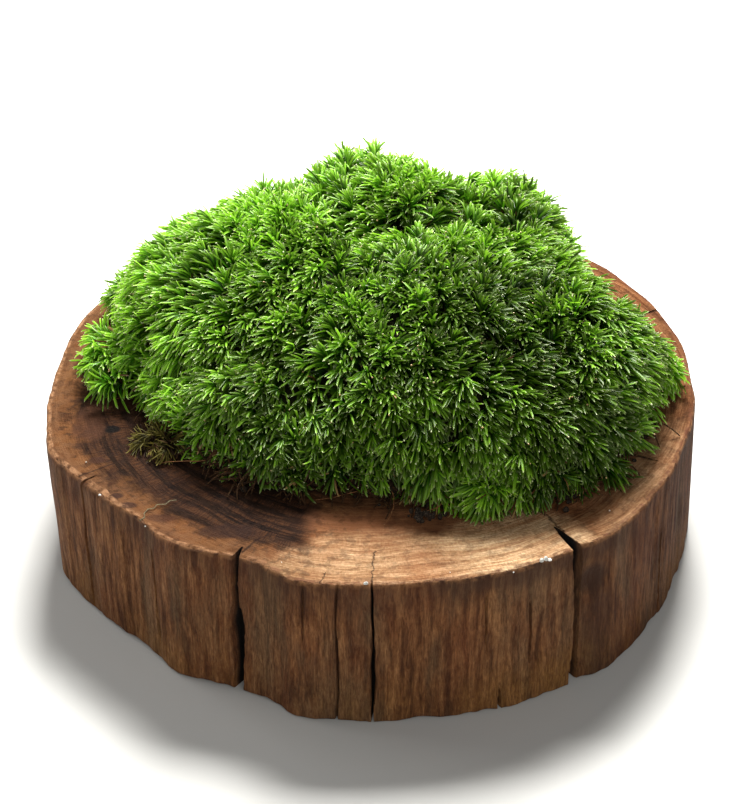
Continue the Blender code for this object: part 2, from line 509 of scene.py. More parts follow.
class Effects:
    """The shader node groups that several finishes share, each built once."""

    def __init__(self) -> None:
        """Builds every group."""
        self.grain = self.build_grain()
        self.blotches = self.build_blotches()
        self.spot = self.build_spot()
        self.hairline = self.build_hairline()
        self.leaf_colour = self.build_leaf_colour()

    def patches(self, graph: Graph, place: Socket, scale: float, cut: float, edge: float) -> Socket:
        """Lays ragged patches in a finish.

        Args:
            graph: The finish's graph.
            place: Where to read them, in millimetres.
            scale: Patches for each millimetre, about.
            cut: How high the noise has to be for a patch.
            edge: How soft the patches' edges are.

        Returns:
            The patches' mask.
        """
        made = graph.effect(self.blotches, place=place, scale=scale, cut=cut, edge=edge)
        return made.outputs["Mask"]

    def start(
        self, name: str, takes: dict[str, object], gives: Sequence[str]
    ) -> tuple[Graph, dict[str, Socket], bpy.types.Node]:
        """Makes an empty group.

        Args:
            name: The group's name.
            takes: Input names, each with its resting value, whose form says what kind of socket it is.
            gives: Output names; one that ends in Colour is a colour, any other a number.

        Returns:
            The graph to fill, the input sockets by name, and the output node.
        """
        tree = bpy.data.node_groups.new(name, "ShaderNodeTree")
        kinds = {1: "NodeSocketFloat", 3: "NodeSocketVector", 4: "NodeSocketColor"}
        for label, value in takes.items():
            size = len(value) if isinstance(value, tuple) else 1
            socket = tree.interface.new_socket(label, in_out="INPUT", socket_type=kinds[size])
            socket.default_value = value
        for label in gives:
            kind = kinds[4 if label.endswith("Colour") else 1]
            tree.interface.new_socket(label, in_out="OUTPUT", socket_type=kind)
        graph = Graph(tree)
        given = graph.node("NodeGroupInput")
        return graph, {label: given.outputs[label] for label in takes}, graph.node("NodeGroupOutput")

    def build_grain(self) -> bpy.types.NodeTree:
        """Wood grain: broad streaks and fine fibres, drawn out by Stretch.

        Returns:
            The group.
        """
        takes = {"Place": (0.0, 0.0, 0.0), "Stretch": (1.0, 1.0, 1.0), "Sway": 1.0}
        graph, given, out = self.start("Wood Grain", takes, ("Streaks", "Fibres", "Pores"))
        drawn = graph.vector("MULTIPLY", given["Place"], given["Stretch"])
        sway = graph.times(graph.noise(given["Place"], 0.12, 2.0), given["Sway"])
        drawn = graph.vector("ADD", drawn, graph.joined(sway, sway, sway))
        streaks = graph.noise(drawn, 0.55, 4.0, 0.6)
        fibres = graph.noise(drawn, 2.6, 4.0, 0.7)
        pores = graph.noise(drawn, 5.5, 2.0, 0.6)
        graph.feed(out.inputs["Streaks"], graph.band(streaks, 0.3, 0.7))
        graph.feed(out.inputs["Fibres"], graph.band(fibres, 0.3, 0.7))
        graph.feed(out.inputs["Pores"], graph.band(pores, 0.58, 0.72))
        return graph.tree

    def build_blotches(self) -> bpy.types.NodeTree:
        """Ragged patches of one surface on another.

        Returns:
            The group.
        """
        takes = {"Place": (0.0, 0.0, 0.0), "Scale": 0.1, "Cut": 0.5, "Edge": 0.1}
        graph, given, out = self.start("Blotches", takes, ("Mask",))
        cloud = graph.noise(given["Place"], given["Scale"], 5.0, 0.6)
        low = graph.less(given["Cut"], given["Edge"])
        high = graph.plus(given["Cut"], given["Edge"])
        graph.feed(out.inputs["Mask"], graph.band(cloud, low, high))
        return graph.tree

    def build_spot(self) -> bpy.types.NodeTree:
        """One patch at a place, with a ragged edge.

        Returns:
            The group.
        """
        takes = {
            "Place": (0.0, 0.0, 0.0), "Centre": (0.0, 0.0, 0.0), "Spread": (1.0, 1.0, 1.0),
            "Ragged": 0.5, "Soft": 0.3,
        }
        graph, given, out = self.start("Spot", takes, ("Mask",))
        offset = graph.vector("SUBTRACT", given["Place"], given["Centre"])
        reach = graph.vector("LENGTH", graph.vector("DIVIDE", offset, given["Spread"]))
        broad = graph.less(graph.noise(given["Place"], 0.17, 4.0, 0.62), 0.5)
        reach = graph.plus(reach, graph.times(broad, given["Ragged"]))
        inner = graph.less(1.0, given["Soft"])
        outer = graph.plus(1.0, given["Soft"])
        graph.feed(out.inputs["Mask"], graph.band(reach, inner, outer, 1.0, 0.0))
        return graph.tree

    def build_hairline(self) -> bpy.types.NodeTree:
        """A wandering dark line from one place to another.

        Returns:
            The group.
        """
        takes = {"Place": (0.0, 0.0, 0.0), "Start": (0.0, 0.0, 0.0), "End": (1.0, 0.0, 0.0), "Width": 0.2}
        graph, given, out = self.start("Hairline", takes, ("Mask",))
        wander = graph.less(graph.noise(given["Place"], 0.5, 4.0, 0.7), 0.5)
        sideways = graph.vector("MULTIPLY", (2.2, 2.2, 0.0), graph.joined(wander, wander, 0.0))
        moved = graph.vector("ADD", given["Place"], sideways)
        way = graph.vector("SUBTRACT", given["End"], given["Start"])
        offset = graph.vector("SUBTRACT", moved, given["Start"])
        gone = graph.vector("DOT_PRODUCT", offset, way)
        share = graph.maths("DIVIDE", gone, graph.vector("DOT_PRODUCT", way, way), clamp=True)
        nearest = graph.vector("MULTIPLY", way, graph.joined(share, share, share))
        distance = graph.vector("DISTANCE", offset, nearest)
        mask = graph.maths("SUBTRACT", 1.0, graph.maths("DIVIDE", distance, given["Width"]), clamp=True)
        graph.feed(out.inputs["Mask"], mask)
        return graph.tree

    def build_leaf_colour(self) -> bpy.types.NodeTree:
        """A leaf's colour by the way along it, the way across it, and its tone, with painted light carried in
        the tone and a painted highlight along the middle.

        Returns:
            The group.
        """
        takes = {
            "Along": 0.5, "Across": 0.5, "Tone": 0.5,
            "Foot Colour": paint(30, 60, 10), "Blade Colour": paint(70, 120, 25),
            "Tip Colour": paint(140, 190, 70), "Point Colour": paint(215, 215, 160),
            "Straw Colour": paint(150, 120, 70), "Brown Colour": paint(80, 50, 26),
        }
        graph, given, out = self.start("Leaf Colour", takes, ("Colour",))
        along, tone = given["Along"], given["Tone"]
        colour = graph.mix(graph.band(along, 0.0, 0.42), given["Foot Colour"], given["Blade Colour"])
        colour = graph.mix(graph.band(along, 0.35, 1.0), colour, given["Tip Colour"])
        # Painted highlight: a lighter line along the middle of each blade.
        off_middle = graph.maths("ABSOLUTE", graph.less(given["Across"], 0.5))
        colour = graph.mix(graph.band(off_middle, 0.02, 0.2, 0.3, 0.0), colour, given["Tip Colour"])
        # The tone, which holds painted light and shade, sets each leaf's brightness; high tones turn towards
        # the tip colour as a painted glow of backlit leaves.
        dim = graph.plus(graph.times(tone, 1.5), 0.2)
        colour = graph.mix(1.0, colour, graph.joined(dim, dim, dim), "MULTIPLY")
        warm = graph.mix(graph.band(tone, 0.4, 0.9, 0.0, 0.35), colour, given["Tip Colour"])
        # Paler points where the tone is higher: pale tips, with painted glints.
        bright = graph.band(tone, 0.2, 0.65, 0.35, 0.9)
        pointed = graph.times(graph.band(along, 0.9, 1.0), bright)
        colour = graph.mix(pointed, warm, given["Point Colour"])
        straw = graph.mix(graph.band(along, 0.1, 1.0), given["Brown Colour"], given["Straw Colour"])
        colour = graph.mix(graph.band(tone, 0.905, 0.92), colour, straw)
        colour = graph.mix(graph.band(tone, 0.95, 0.965), colour, given["Brown Colour"])
        graph.feed(out.inputs["Colour"], colour)
        return graph.tree


def new_finish(name: str) -> tuple[bpy.types.Material, Graph, bpy.types.Node]:
    """Starts a material.

    Args:
        name: The finish's name.

    Returns:
        The material, its graph, and its Principled shader.
    """
    material = bpy.data.materials.new(name)
    material.use_nodes = True
    graph = Graph(material.node_tree)
    return material, graph, material.node_tree.nodes["Principled BSDF"]


# -------------------------------------------------------------------- finishes


@dataclass(frozen=True)
class LeafFinish:
    """Thin wet-looking leaves that let some light through."""

    name: str = "Living Moss"
    foot: Colour = paint(14, 34, 2)
    blade: Colour = paint(55, 120, 8)
    tip: Colour = paint(143, 194, 50)
    # Pale leaf points: pale tips, with painted glints.
    point: Colour = paint(228, 230, 180)
    straw: Colour = paint(176, 146, 92)
    brown: Colour = paint(88, 58, 32)
    roughness: float = 0.44
    shine: float = 0.28
    coat: float = 0.06
    coat_roughness: float = 0.25
    glow_through: float = 0.4

    def material(self, effects: Effects) -> bpy.types.Material:
        """Builds the leaf shader from the leaf's own coordinates.

        Args:
            effects: The shared effects.

        Returns:
            The material.
        """
        material, graph, shader = new_finish(self.name)
        across_along = graph.node("ShaderNodeUVMap", uv_map="blade").outputs[0]
        along, across, _ = graph.parts(across_along)
        colour = graph.effect(
            effects.leaf_colour, along=along, across=across, tone=graph.stored("tone"),
            foot_colour=self.foot, blade_colour=self.blade, tip_colour=self.tip,
            point_colour=self.point, straw_colour=self.straw, brown_colour=self.brown,
        ).outputs["Colour"]
        graph.fill(shader, {
            "Base Color": colour, "Roughness": self.roughness, "Specular IOR Level": self.shine,
            "Coat Weight": self.coat, "Coat Roughness": self.coat_roughness,
        })
        through = graph.node("ShaderNodeBsdfTranslucent")
        graph.feed(through.inputs["Color"], colour)
        blend = graph.node("ShaderNodeMixShader")
        graph.feed(blend.inputs[0], self.glow_through)
        graph.feed(blend.inputs[1], shader.outputs[0])
        graph.feed(blend.inputs[2], through.outputs[0])
        graph.feed(graph.tree.nodes["Material Output"].inputs["Surface"], blend.outputs[0])
        return material


@dataclass(frozen=True)
class MottledFinish:
    """A rough natural surface in three colours: felt, soil, stems, roots and lint."""

    name: str
    dark: Colour
    middle: Colour
    light: Colour
    scale: float = 0.6
    roughness: float = 0.9
    shine: float = 0.15
    relief: float = 0.3 * MM

    def material(self, effects: Effects) -> bpy.types.Material:
        """Builds the shader out of blotches at two sizes.

        Args:
            effects: The shared effects.

        Returns:
            The material.
        """
        material, graph, shader = new_finish(self.name)
        place = graph.millimetres()
        broad = effects.patches(graph, place, self.scale, 0.5, 0.14)
        fine = effects.patches(graph, place, self.scale * 3.6, 0.56, 0.1)
        colour = graph.mix(broad, self.dark, self.middle)
        colour = graph.mix(graph.times(fine, 0.7), colour, self.light)
        graph.fill(shader, {
            "Base Color": colour, "Roughness": self.roughness, "Specular IOR Level": self.shine,
            "Normal": graph.bump(graph.plus(broad, fine), 0.6, self.relief),
        })
        return material


@dataclass(frozen=True)
class TipFinish:
    """Pale beads at the leaf points: pale tips, with painted glints."""

    name: str = "Leaf Points"
    pale: Colour = paint(206, 218, 166)
    warm: Colour = paint(196, 158, 112)

    def material(self, effects: Effects) -> bpy.types.Material:
        """Mixes pale and warm beads by where they sit.

        Args:
            effects: The shared effects.

        Returns:
            The material.
        """
        material, graph, shader = new_finish(self.name)
        where = effects.patches(graph, graph.millimetres(), 0.35, 0.56, 0.04)
        graph.fill(shader, {"Base Color": graph.mix(where, self.pale, self.warm), "Roughness": 0.3})
        return material


@dataclass(frozen=True)
class SideMark:
    """A dark place on the side of the log: its centre and how far it reaches, in millimetres."""

    place: tuple[float, float, float]
    spread: tuple[float, float, float]
    strength: float


@dataclass(frozen=True)
class BarklessFinish:
    """The outside of the log where the bark has gone: drawn-out, stained fibres."""

    name: str = "Weathered Side"
    deep: Colour = paint(96, 61, 36)
    brown: Colour = paint(146, 97, 58)
    light: Colour = paint(184, 132, 84)
    red: Colour = paint(134, 76, 44)
    grey: Colour = paint(132, 114, 86)
    yellow: Colour = paint(178, 130, 68)
    shade: Colour = paint(66, 43, 30)
    crumb: Colour = paint(146, 102, 66)
    # Painted shade deep in the cracks.
    crack_shade: Colour = paint(16, 10, 7)
    shine: float = 0.2
    relief: float = 0.35 * MM
    marks: tuple[SideMark, ...] = (
        SideMark((40.4, -55.8, 25.0), (3.4, 3.4, 3.4), 0.9),
        # Painted shadow: a dark band just right of the crack at -57.6 degrees, where the wood is set back.
        SideMark((41.6, -55.4, 13.0), (3.4, 3.4, 15.0), 0.55),
        SideMark((30.0, -62.0, 33.0), (26.0, 10.0, 2.6), 0.5),
    )

    def weathered(self, graph: Graph, effects: Effects, place: Socket, colour: Socket) -> Socket:
        """Adds the broad changes of colour along the grain.

        Args:
            graph: The finish's graph.
            effects: The shared effects.
            place: Where on the log, in millimetres.
            colour: The colour of the bare fibres.

        Returns:
            The changed colour.
        """
        drawn = graph.vector("MULTIPLY", place, (1.0, 1.0, 0.3))
        x, _, z = graph.parts(place)
        yellowed = graph.times(graph.band(z, 15.0, 3.0), graph.band(x, 5.0, 50.0, 0.3, 0.8))
        layers = (
            ((0.0, 0.0, 0.0), 0.07, 0.55, 0.12, 0.55, self.red),
            ((40.0, 9.0, 3.0), 0.1, 0.56, 0.1, 0.42, self.grey),
            ((3.0, 70.0, 8.0), 0.09, 0.5, 0.12, yellowed, self.yellow),
        )
        for shift, scale, cut, edge, strength, tint in layers:
            mask = effects.patches(graph, graph.vector("ADD", drawn, shift), scale, cut, edge)
            colour = graph.mix(graph.times(mask, strength), colour, tint)
        return colour

    def worn(self, graph: Graph, effects: Effects, place: Socket, colour: Socket) -> Socket:
        """Adds marks, painted shade on the right side, and the shade and crumbs under the rim.

        Args:
            graph: The finish's graph.
            effects: The shared effects.
            place: Where on the log, in millimetres.
            colour: The colour so far.

        Returns:
            The changed colour.
        """
        for mark in self.marks:
            spot = graph.effect(
                effects.spot, place=place, centre=mark.place, spread=mark.spread, ragged=0.9, soft=0.4
            )
            colour = graph.mix(graph.times(spot.outputs["Mask"], mark.strength), colour, self.shade)
        x, _, _ = graph.parts(place)
        # Painted shade: the right side made darker, as it gets less light.
        painted_right_shade = graph.mix(graph.band(x, 26.0, 64.0), paint(245, 245, 245), paint(196, 184, 174))
        colour = graph.mix(1.0, colour, painted_right_shade, "MULTIPLY")
        rim = graph.stored("rim")
        drawn = graph.vector("MULTIPLY", place, (1.0, 1.0, 0.3))
        dusk = graph.times(graph.band(rim, 10.0, 1.0), effects.patches(graph, drawn, 0.16, 0.47, 0.12))
        colour = graph.mix(graph.times(dusk, 0.6), colour, self.shade)
        crumbs = effects.patches(graph, place, 0.5, 0.5, 0.12)
        return graph.mix(graph.times(graph.band(rim, 1.3, 0.1), crumbs), colour, self.crumb)

    def material(self, effects: Effects) -> bpy.types.Material:
        """Builds the shader: fibres and their stains, then the rim's wear and painted shade in the cracks.

        Args:
            effects: The shared effects.

        Returns:
            The material.
        """
        material, graph, shader = new_finish(self.name)
        place = graph.millimetres()
        grain = graph.effect(effects.grain, place=place, stretch=(1.25, 1.25, 0.13))
        streaks, fibres, pores = (grain.outputs[name] for name in ("Streaks", "Fibres", "Pores"))
        colour = graph.ramp(streaks, ((0.0, self.deep), (0.5, self.brown), (1.0, self.light)))
        colour = self.weathered(graph, effects, place, colour)
        tint = graph.mix(graph.times(fibres, 0.9), paint(166, 152, 142), WHITE)
        colour = graph.mix(0.85, colour, tint, "MULTIPLY")
        drawn = graph.vector("MULTIPLY", place, (1.0, 1.0, 0.3))
        specks = effects.patches(graph, drawn, 2.4, 0.5, 0.16)
        colour = graph.mix(0.8, colour, graph.mix(specks, paint(208, 200, 194), WHITE), "MULTIPLY")
        colour = graph.mix(graph.times(pores, 0.5), colour, self.shade)
        colour = self.worn(graph, effects, place, colour)
        # Painted shade: darker the deeper a place lies in a crack.
        colour = graph.mix(graph.band(graph.stored("crack_shade"), 0.4, 2.6), colour, self.crack_shade)
        height = fibres
        for layer, strength in ((streaks, 0.6), (specks, 0.3), (pores, -0.5)):
            height = graph.plus(height, graph.times(layer, strength))
        graph.fill(shader, {
            "Base Color": colour, "Roughness": graph.band(streaks, 0.0, 1.0, 0.92, 0.76),
            "Specular IOR Level": self.shine, "Normal": graph.bump(height, 0.75, self.relief),
        })
        return material


@dataclass(frozen=True)
class Stain:
    """One patch of colour on the sawn top: where it is, how far it spreads, and how strong it is."""

    colour: Colour
    place: tuple[float, float]
    spread: tuple[float, float]
    strength: float = 0.8
    ragged: float = 1.6
    soft: float = 0.35


@dataclass(frozen=True)
class SawnWood:
    """What the layers of the sawn finish share: its graph, places, grain and masks."""

    graph: Graph
    effects: Effects
    place: Socket
    flat: Socket
    x: Socket
    streaks: Socket
    fibres: Socket
    pores: Socket
    rays: Socket
    grit: Socket
    left: Socket
    rim: Socket
    ragged: Socket


@dataclass(frozen=True)
class SawnFinish:
    """The sawn top and underside: growth rings, saw marks, stains and a worn rim."""

    name: str = "Sawn Top"
    late: Colour = paint(88, 58, 37)
    middle: Colour = paint(124, 86, 56)
    early: Colour = paint(156, 114, 78)
    fresh_late: Colour = paint(200, 160, 120)
    fresh_middle: Colour = paint(226, 192, 150)
    fresh_early: Colour = paint(240, 211, 170)
    rust: Colour = paint(128, 74, 42)
    soaked_dark: Colour = paint(10, 6, 5)
    soaked_light: Colour = paint(64, 38, 22)
    rim_band: Colour = paint(99, 68, 44)
    ochre: Colour = paint(140, 94, 54)
    # Painted shade that darkens the left side of the top.
    weathered: Colour = paint(200, 198, 194)
    crumb: Colour = paint(96, 60, 44)
    pale_crumb: Colour = paint(148, 110, 80)
    line: Colour = paint(34, 20, 14)
    # Painted shade deep in the cracks.
    crack_shade: Colour = paint(20, 12, 9)
    shine: float = 0.08
    relief: float = 0.26 * MM
    fresh_cut: tuple[Stain, ...] = (
        Stain(WHITE, (3.0, -67.0), (29.0, 14.0), 0.58, 0.8, 0.14),
        Stain(WHITE, (25.0, -57.0), (14.0, 11.0), 1.0, 0.8, 0.2),
        Stain(WHITE, (52.0, -38.0), (12.0, 20.0), 0.36, 1.6, 0.5),
    )
    stains: tuple[Stain, ...] = (
        Stain(paint(40, 25, 19), (-38.0, -37.0), (22.0, 10.0), 0.8, 1.8),
        Stain(paint(38, 24, 19), (-23.0, -49.0), (9.0, 9.0), 0.76, 1.6, 0.25),
        Stain(paint(140, 92, 62), (2.0, -50.0), (22.0, 4.0), 0.45, 0.9, 0.25),
    )
    under_moss: Stain = Stain(paint(38, 24, 17), (1.0, 6.0), (58.0, 49.0), 0.8, 0.35, 0.12)
    marks: tuple[Stain, ...] = (
        Stain(paint(14, 10, 8), (-57.0, -19.0), (1.7, 1.4), 1.0, 0.5, 0.2),
        Stain(paint(52, 32, 24), (-59.0, -30.0), (1.8, 1.1), 0.8, 0.6, 0.3),
        Stain(paint(70, 44, 30), (-62.0, -17.0), (3.4, 6.0), 0.6, 1.6, 0.3),
        Stain(paint(74, 47, 32), (-57.0, -9.0), (5.0, 4.0), 0.5, 1.6, 0.3),
        Stain(paint(60, 37, 27), (-44.0, -49.0), (3.4, 1.2), 0.6, 1.2, 0.3),
        Stain(paint(46, 29, 24), (-51.0, -45.0), (1.8, 1.0), 0.8, 0.6, 0.3),
        Stain(paint(44, 28, 23), (-53.5, -42.0), (1.2, 0.9), 0.8, 0.6, 0.3),
        Stain(paint(40, 25, 20), (-31.0, -53.0), (6.0, 2.2), 0.7, 1.2, 0.3),
    )
    lines: tuple[tuple[tuple[float, float], tuple[float, float], float], ...] = (
        ((-27.6, -59.7), (-25.4, -56.0), 0.4),
        ((-25.4, -56.0), (-17.6, -50.6), 0.28),
        ((-17.6, -50.6), (-14.8, -43.7), 0.22),
        ((-2.8, -69.0), (-2.4, -59.5), 0.26),
        ((35.8, -56.0), (31.0, -46.7), 0.5),
        ((-64.0, -37.0), (-53.0, -29.5), 0.3),
        ((-12.6, -69.6), (-11.8, -66.0), 0.22),
        ((62.0, 27.0), (47.0, 21.0), 0.3),
        ((22.0, 62.0), (17.0, 48.0), 0.3),
    )

    def lay_out(self, graph: Graph, effects: Effects) -> SawnWood:
        """Works out the growth rings, the rays and the masks that the layers read.

        Args:
            graph: The finish's graph.
            effects: The shared effects.

        Returns:
            What the layers share.
        """
        place = graph.millimetres()
        x, y, _ = graph.parts(place)
        flat = graph.joined(x, y, 0.0)
        reach = graph.vector("LENGTH", flat)
        radius = graph.plus(reach, graph.times(graph.noise(flat, 0.035, 1.0), 7.0))
        ringed = graph.joined(graph.times(x, 0.09), graph.times(y, 0.09), radius)
        grain = graph.effect(effects.grain, place=ringed, stretch=(1.0, 1.0, 1.3), sway=0.3)
        heading = graph.vector("MULTIPLY", graph.vector("NORMALIZE", flat), (64.0, 64.0, 0.0))
        rayed = graph.vector("ADD", heading, graph.joined(0.0, 0.0, graph.times(reach, 0.16)))
        rays = graph.effect(effects.grain, place=rayed, stretch=(1.0, 1.0, 1.0), sway=0.5)
        return SawnWood(
            graph=graph, effects=effects, place=place, flat=flat, x=x,
            streaks=grain.outputs["Streaks"], fibres=grain.outputs["Fibres"], pores=grain.outputs["Pores"],
            rays=rays.outputs["Fibres"], grit=effects.patches(graph, flat, 1.7, 0.5, 0.15),
            left=graph.band(x, -8.0, -34.0), rim=graph.stored("rim"),
            ragged=graph.times(graph.noise(flat, 0.14, 4.0, 0.65), 13.0),
        )

    def covered(self, wood: SawnWood, stain: Stain) -> Socket:
        """How much of the wood a stain covers at each place.

        Args:
            wood: What the layers share.
            stain: The stain.

        Returns:
            The share covered, 0 to 1.
        """
        spot = wood.graph.effect(
            wood.effects.spot, place=wood.flat, centre=(*stain.place, 0.0), spread=(*stain.spread, 1.0),
            ragged=stain.ragged, soft=stain.soft,
        )
        return wood.graph.times(spot.outputs["Mask"], stain.strength)

    def cut(self, wood: SawnWood) -> Socket:
        """The bare wood: rings, pale fresh places, fibres and rays.

        Args:
            wood: What the layers share.

        Returns:
            The colour.
        """
        graph = wood.graph
        colour = graph.ramp(wood.streaks, ((0.0, self.late), (0.45, self.middle), (1.0, self.early)))
        fresh_stops = ((0.0, self.fresh_late), (0.45, self.fresh_middle), (1.0, self.fresh_early))
        fresh = graph.ramp(wood.streaks, fresh_stops)
        for patch in self.fresh_cut:
            colour = graph.mix(self.covered(wood, patch), colour, fresh)
        tints = (
            (wood.fibres, 0.9, paint(182, 164, 148)),
            (wood.grit, 0.55, paint(196, 182, 170)),
            (wood.rays, 0.4, paint(206, 190, 178)),
        )
        for mask, strength, tint in tints:
            colour = graph.mix(strength, colour, graph.mix(mask, tint, WHITE), "MULTIPLY")
        clouds = wood.effects.patches(graph, wood.flat, 0.06, 0.52, 0.14)
        return graph.mix(graph.times(clouds, 0.38), colour, self.rust)

    def stained(self, wood: SawnWood, colour: Socket) -> Socket:
        """Adds what has soaked in: stains, the wet streaks and the damp; and painted shade on the left side.

        Args:
            wood: What the layers share.
            colour: The colour so far.

        Returns:
            The changed colour.
        """
        graph, patches = wood.graph, wood.effects.patches
        for stain in self.stains:
            colour = graph.mix(self.covered(wood, stain), colour, stain.colour)
        apart = graph.vector("ADD", wood.flat, (30.0, 12.0, 0.0))
        warm = graph.times(patches(graph, apart, 0.13, 0.5, 0.09), graph.times(wood.left, 0.5))
        colour = graph.mix(warm, colour, self.ochre)
        # Painted shade: the whole left side of the top is darkened, as it gets less light.
        colour = graph.mix(1.0, colour, graph.mix(wood.left, WHITE, self.weathered), "MULTIPLY")
        seep = graph.band(graph.plus(wood.rim, wood.ragged), 11.0, 15.0)
        seep = graph.times(seep, graph.band(wood.x, -13.0, -17.5))
        crossed = graph.times(graph.band(wood.streaks, 0.25, 0.75), graph.band(wood.rays, 0.1, 0.9, 0.2, 1.0))
        streaked = graph.mix(crossed, self.soaked_dark, self.soaked_light)
        colour = graph.mix(graph.times(seep, 0.9), colour, streaked)
        colour = graph.mix(self.covered(wood, self.under_moss), colour, self.under_moss.colour)
        mottle = patches(graph, wood.flat, 0.42, 0.55, 0.06)
        share = graph.times(mottle, graph.band(wood.x, 0.0, -30.0, 0.3, 0.6))
        colour = graph.mix(share, colour, self.under_moss.colour)
        return graph.mix(graph.times(wood.pores, 0.38), colour, self.late)

    def worn(self, wood: SawnWood, colour: Socket) -> Socket:
        """Adds what time has done: the darker band by the rim, small marks, crumbs and hairlines; then
        painted shade in the cracks.

        Args:
            wood: What the layers share.
            colour: The colour so far.

        Returns:
            The changed colour.
        """
        graph, patches = wood.graph, wood.effects.patches
        band = graph.times(graph.band(graph.plus(wood.rim, wood.ragged), 13.0, 9.0), wood.left)
        band = graph.times(band, patches(graph, wood.flat, 0.5, 0.46, 0.12))
        colour = graph.mix(graph.times(band, 0.7), colour, self.rim_band)
        for mark in self.marks:
            colour = graph.mix(self.covered(wood, mark), colour, mark.colour)
        crumbs = patches(graph, wood.place, 0.55, 0.5, 0.14)
        crumbs = graph.times(graph.band(wood.rim, 1.6, 0.2), crumbs)
        crumb = graph.mix(wood.left, self.crumb, self.pale_crumb)
        colour = graph.mix(graph.times(crumbs, 0.85), colour, crumb)
        for start, end, width in self.lines:
            crack = graph.effect(
                wood.effects.hairline, place=wood.flat, start=(*start, 0.0), end=(*end, 0.0), width=width
            )
            colour = graph.mix(graph.times(crack.outputs["Mask"], 0.9), colour, self.line)
        # Painted shade where a crack cuts into the top.
        return graph.mix(graph.band(graph.stored("crack_shade"), 0.5, 2.5), colour, self.crack_shade)

    def material(self, effects: Effects) -> bpy.types.Material:
        """Builds the shader: bare wood, then what has soaked in, then wear.

        Args:
            effects: The shared effects.

        Returns:
            The material.
        """
        material, graph, shader = new_finish(self.name)
        wood = self.lay_out(graph, effects)
        height = wood.fibres
        for layer, strength in ((wood.streaks, 0.5), (wood.rays, 0.35), (wood.grit, 0.8)):
            height = graph.plus(height, graph.times(layer, strength))
        graph.fill(shader, {
            "Base Color": self.worn(wood, self.stained(wood, self.cut(wood))),
            "Roughness": graph.band(wood.streaks, 0.0, 1.0, 0.95, 0.82),
            "Specular IOR Level": self.shine, "Normal": graph.bump(height, 0.7, self.relief),
        })
        return material


# ------------------------------------------------------------------ wood slice


@dataclass(frozen=True)
class Crack:
    """A drying crack that opens on the side of the log.

    The angle is in degrees from +X; mouth, depth and wander are in millimetres.
    A check that doesn't run the whole height has its low and high ends as shares
    of the height. Swell widens it a third of the way up; at_top is the share of
    its depth that shows on the sawn top.
    """

    angle: float
    mouth: float
    depth: float
    low: float = -1.0
    high: float = 2.0
    wander: float = 0.45
    swell: float = 0.0
    at_top: float = 0.4


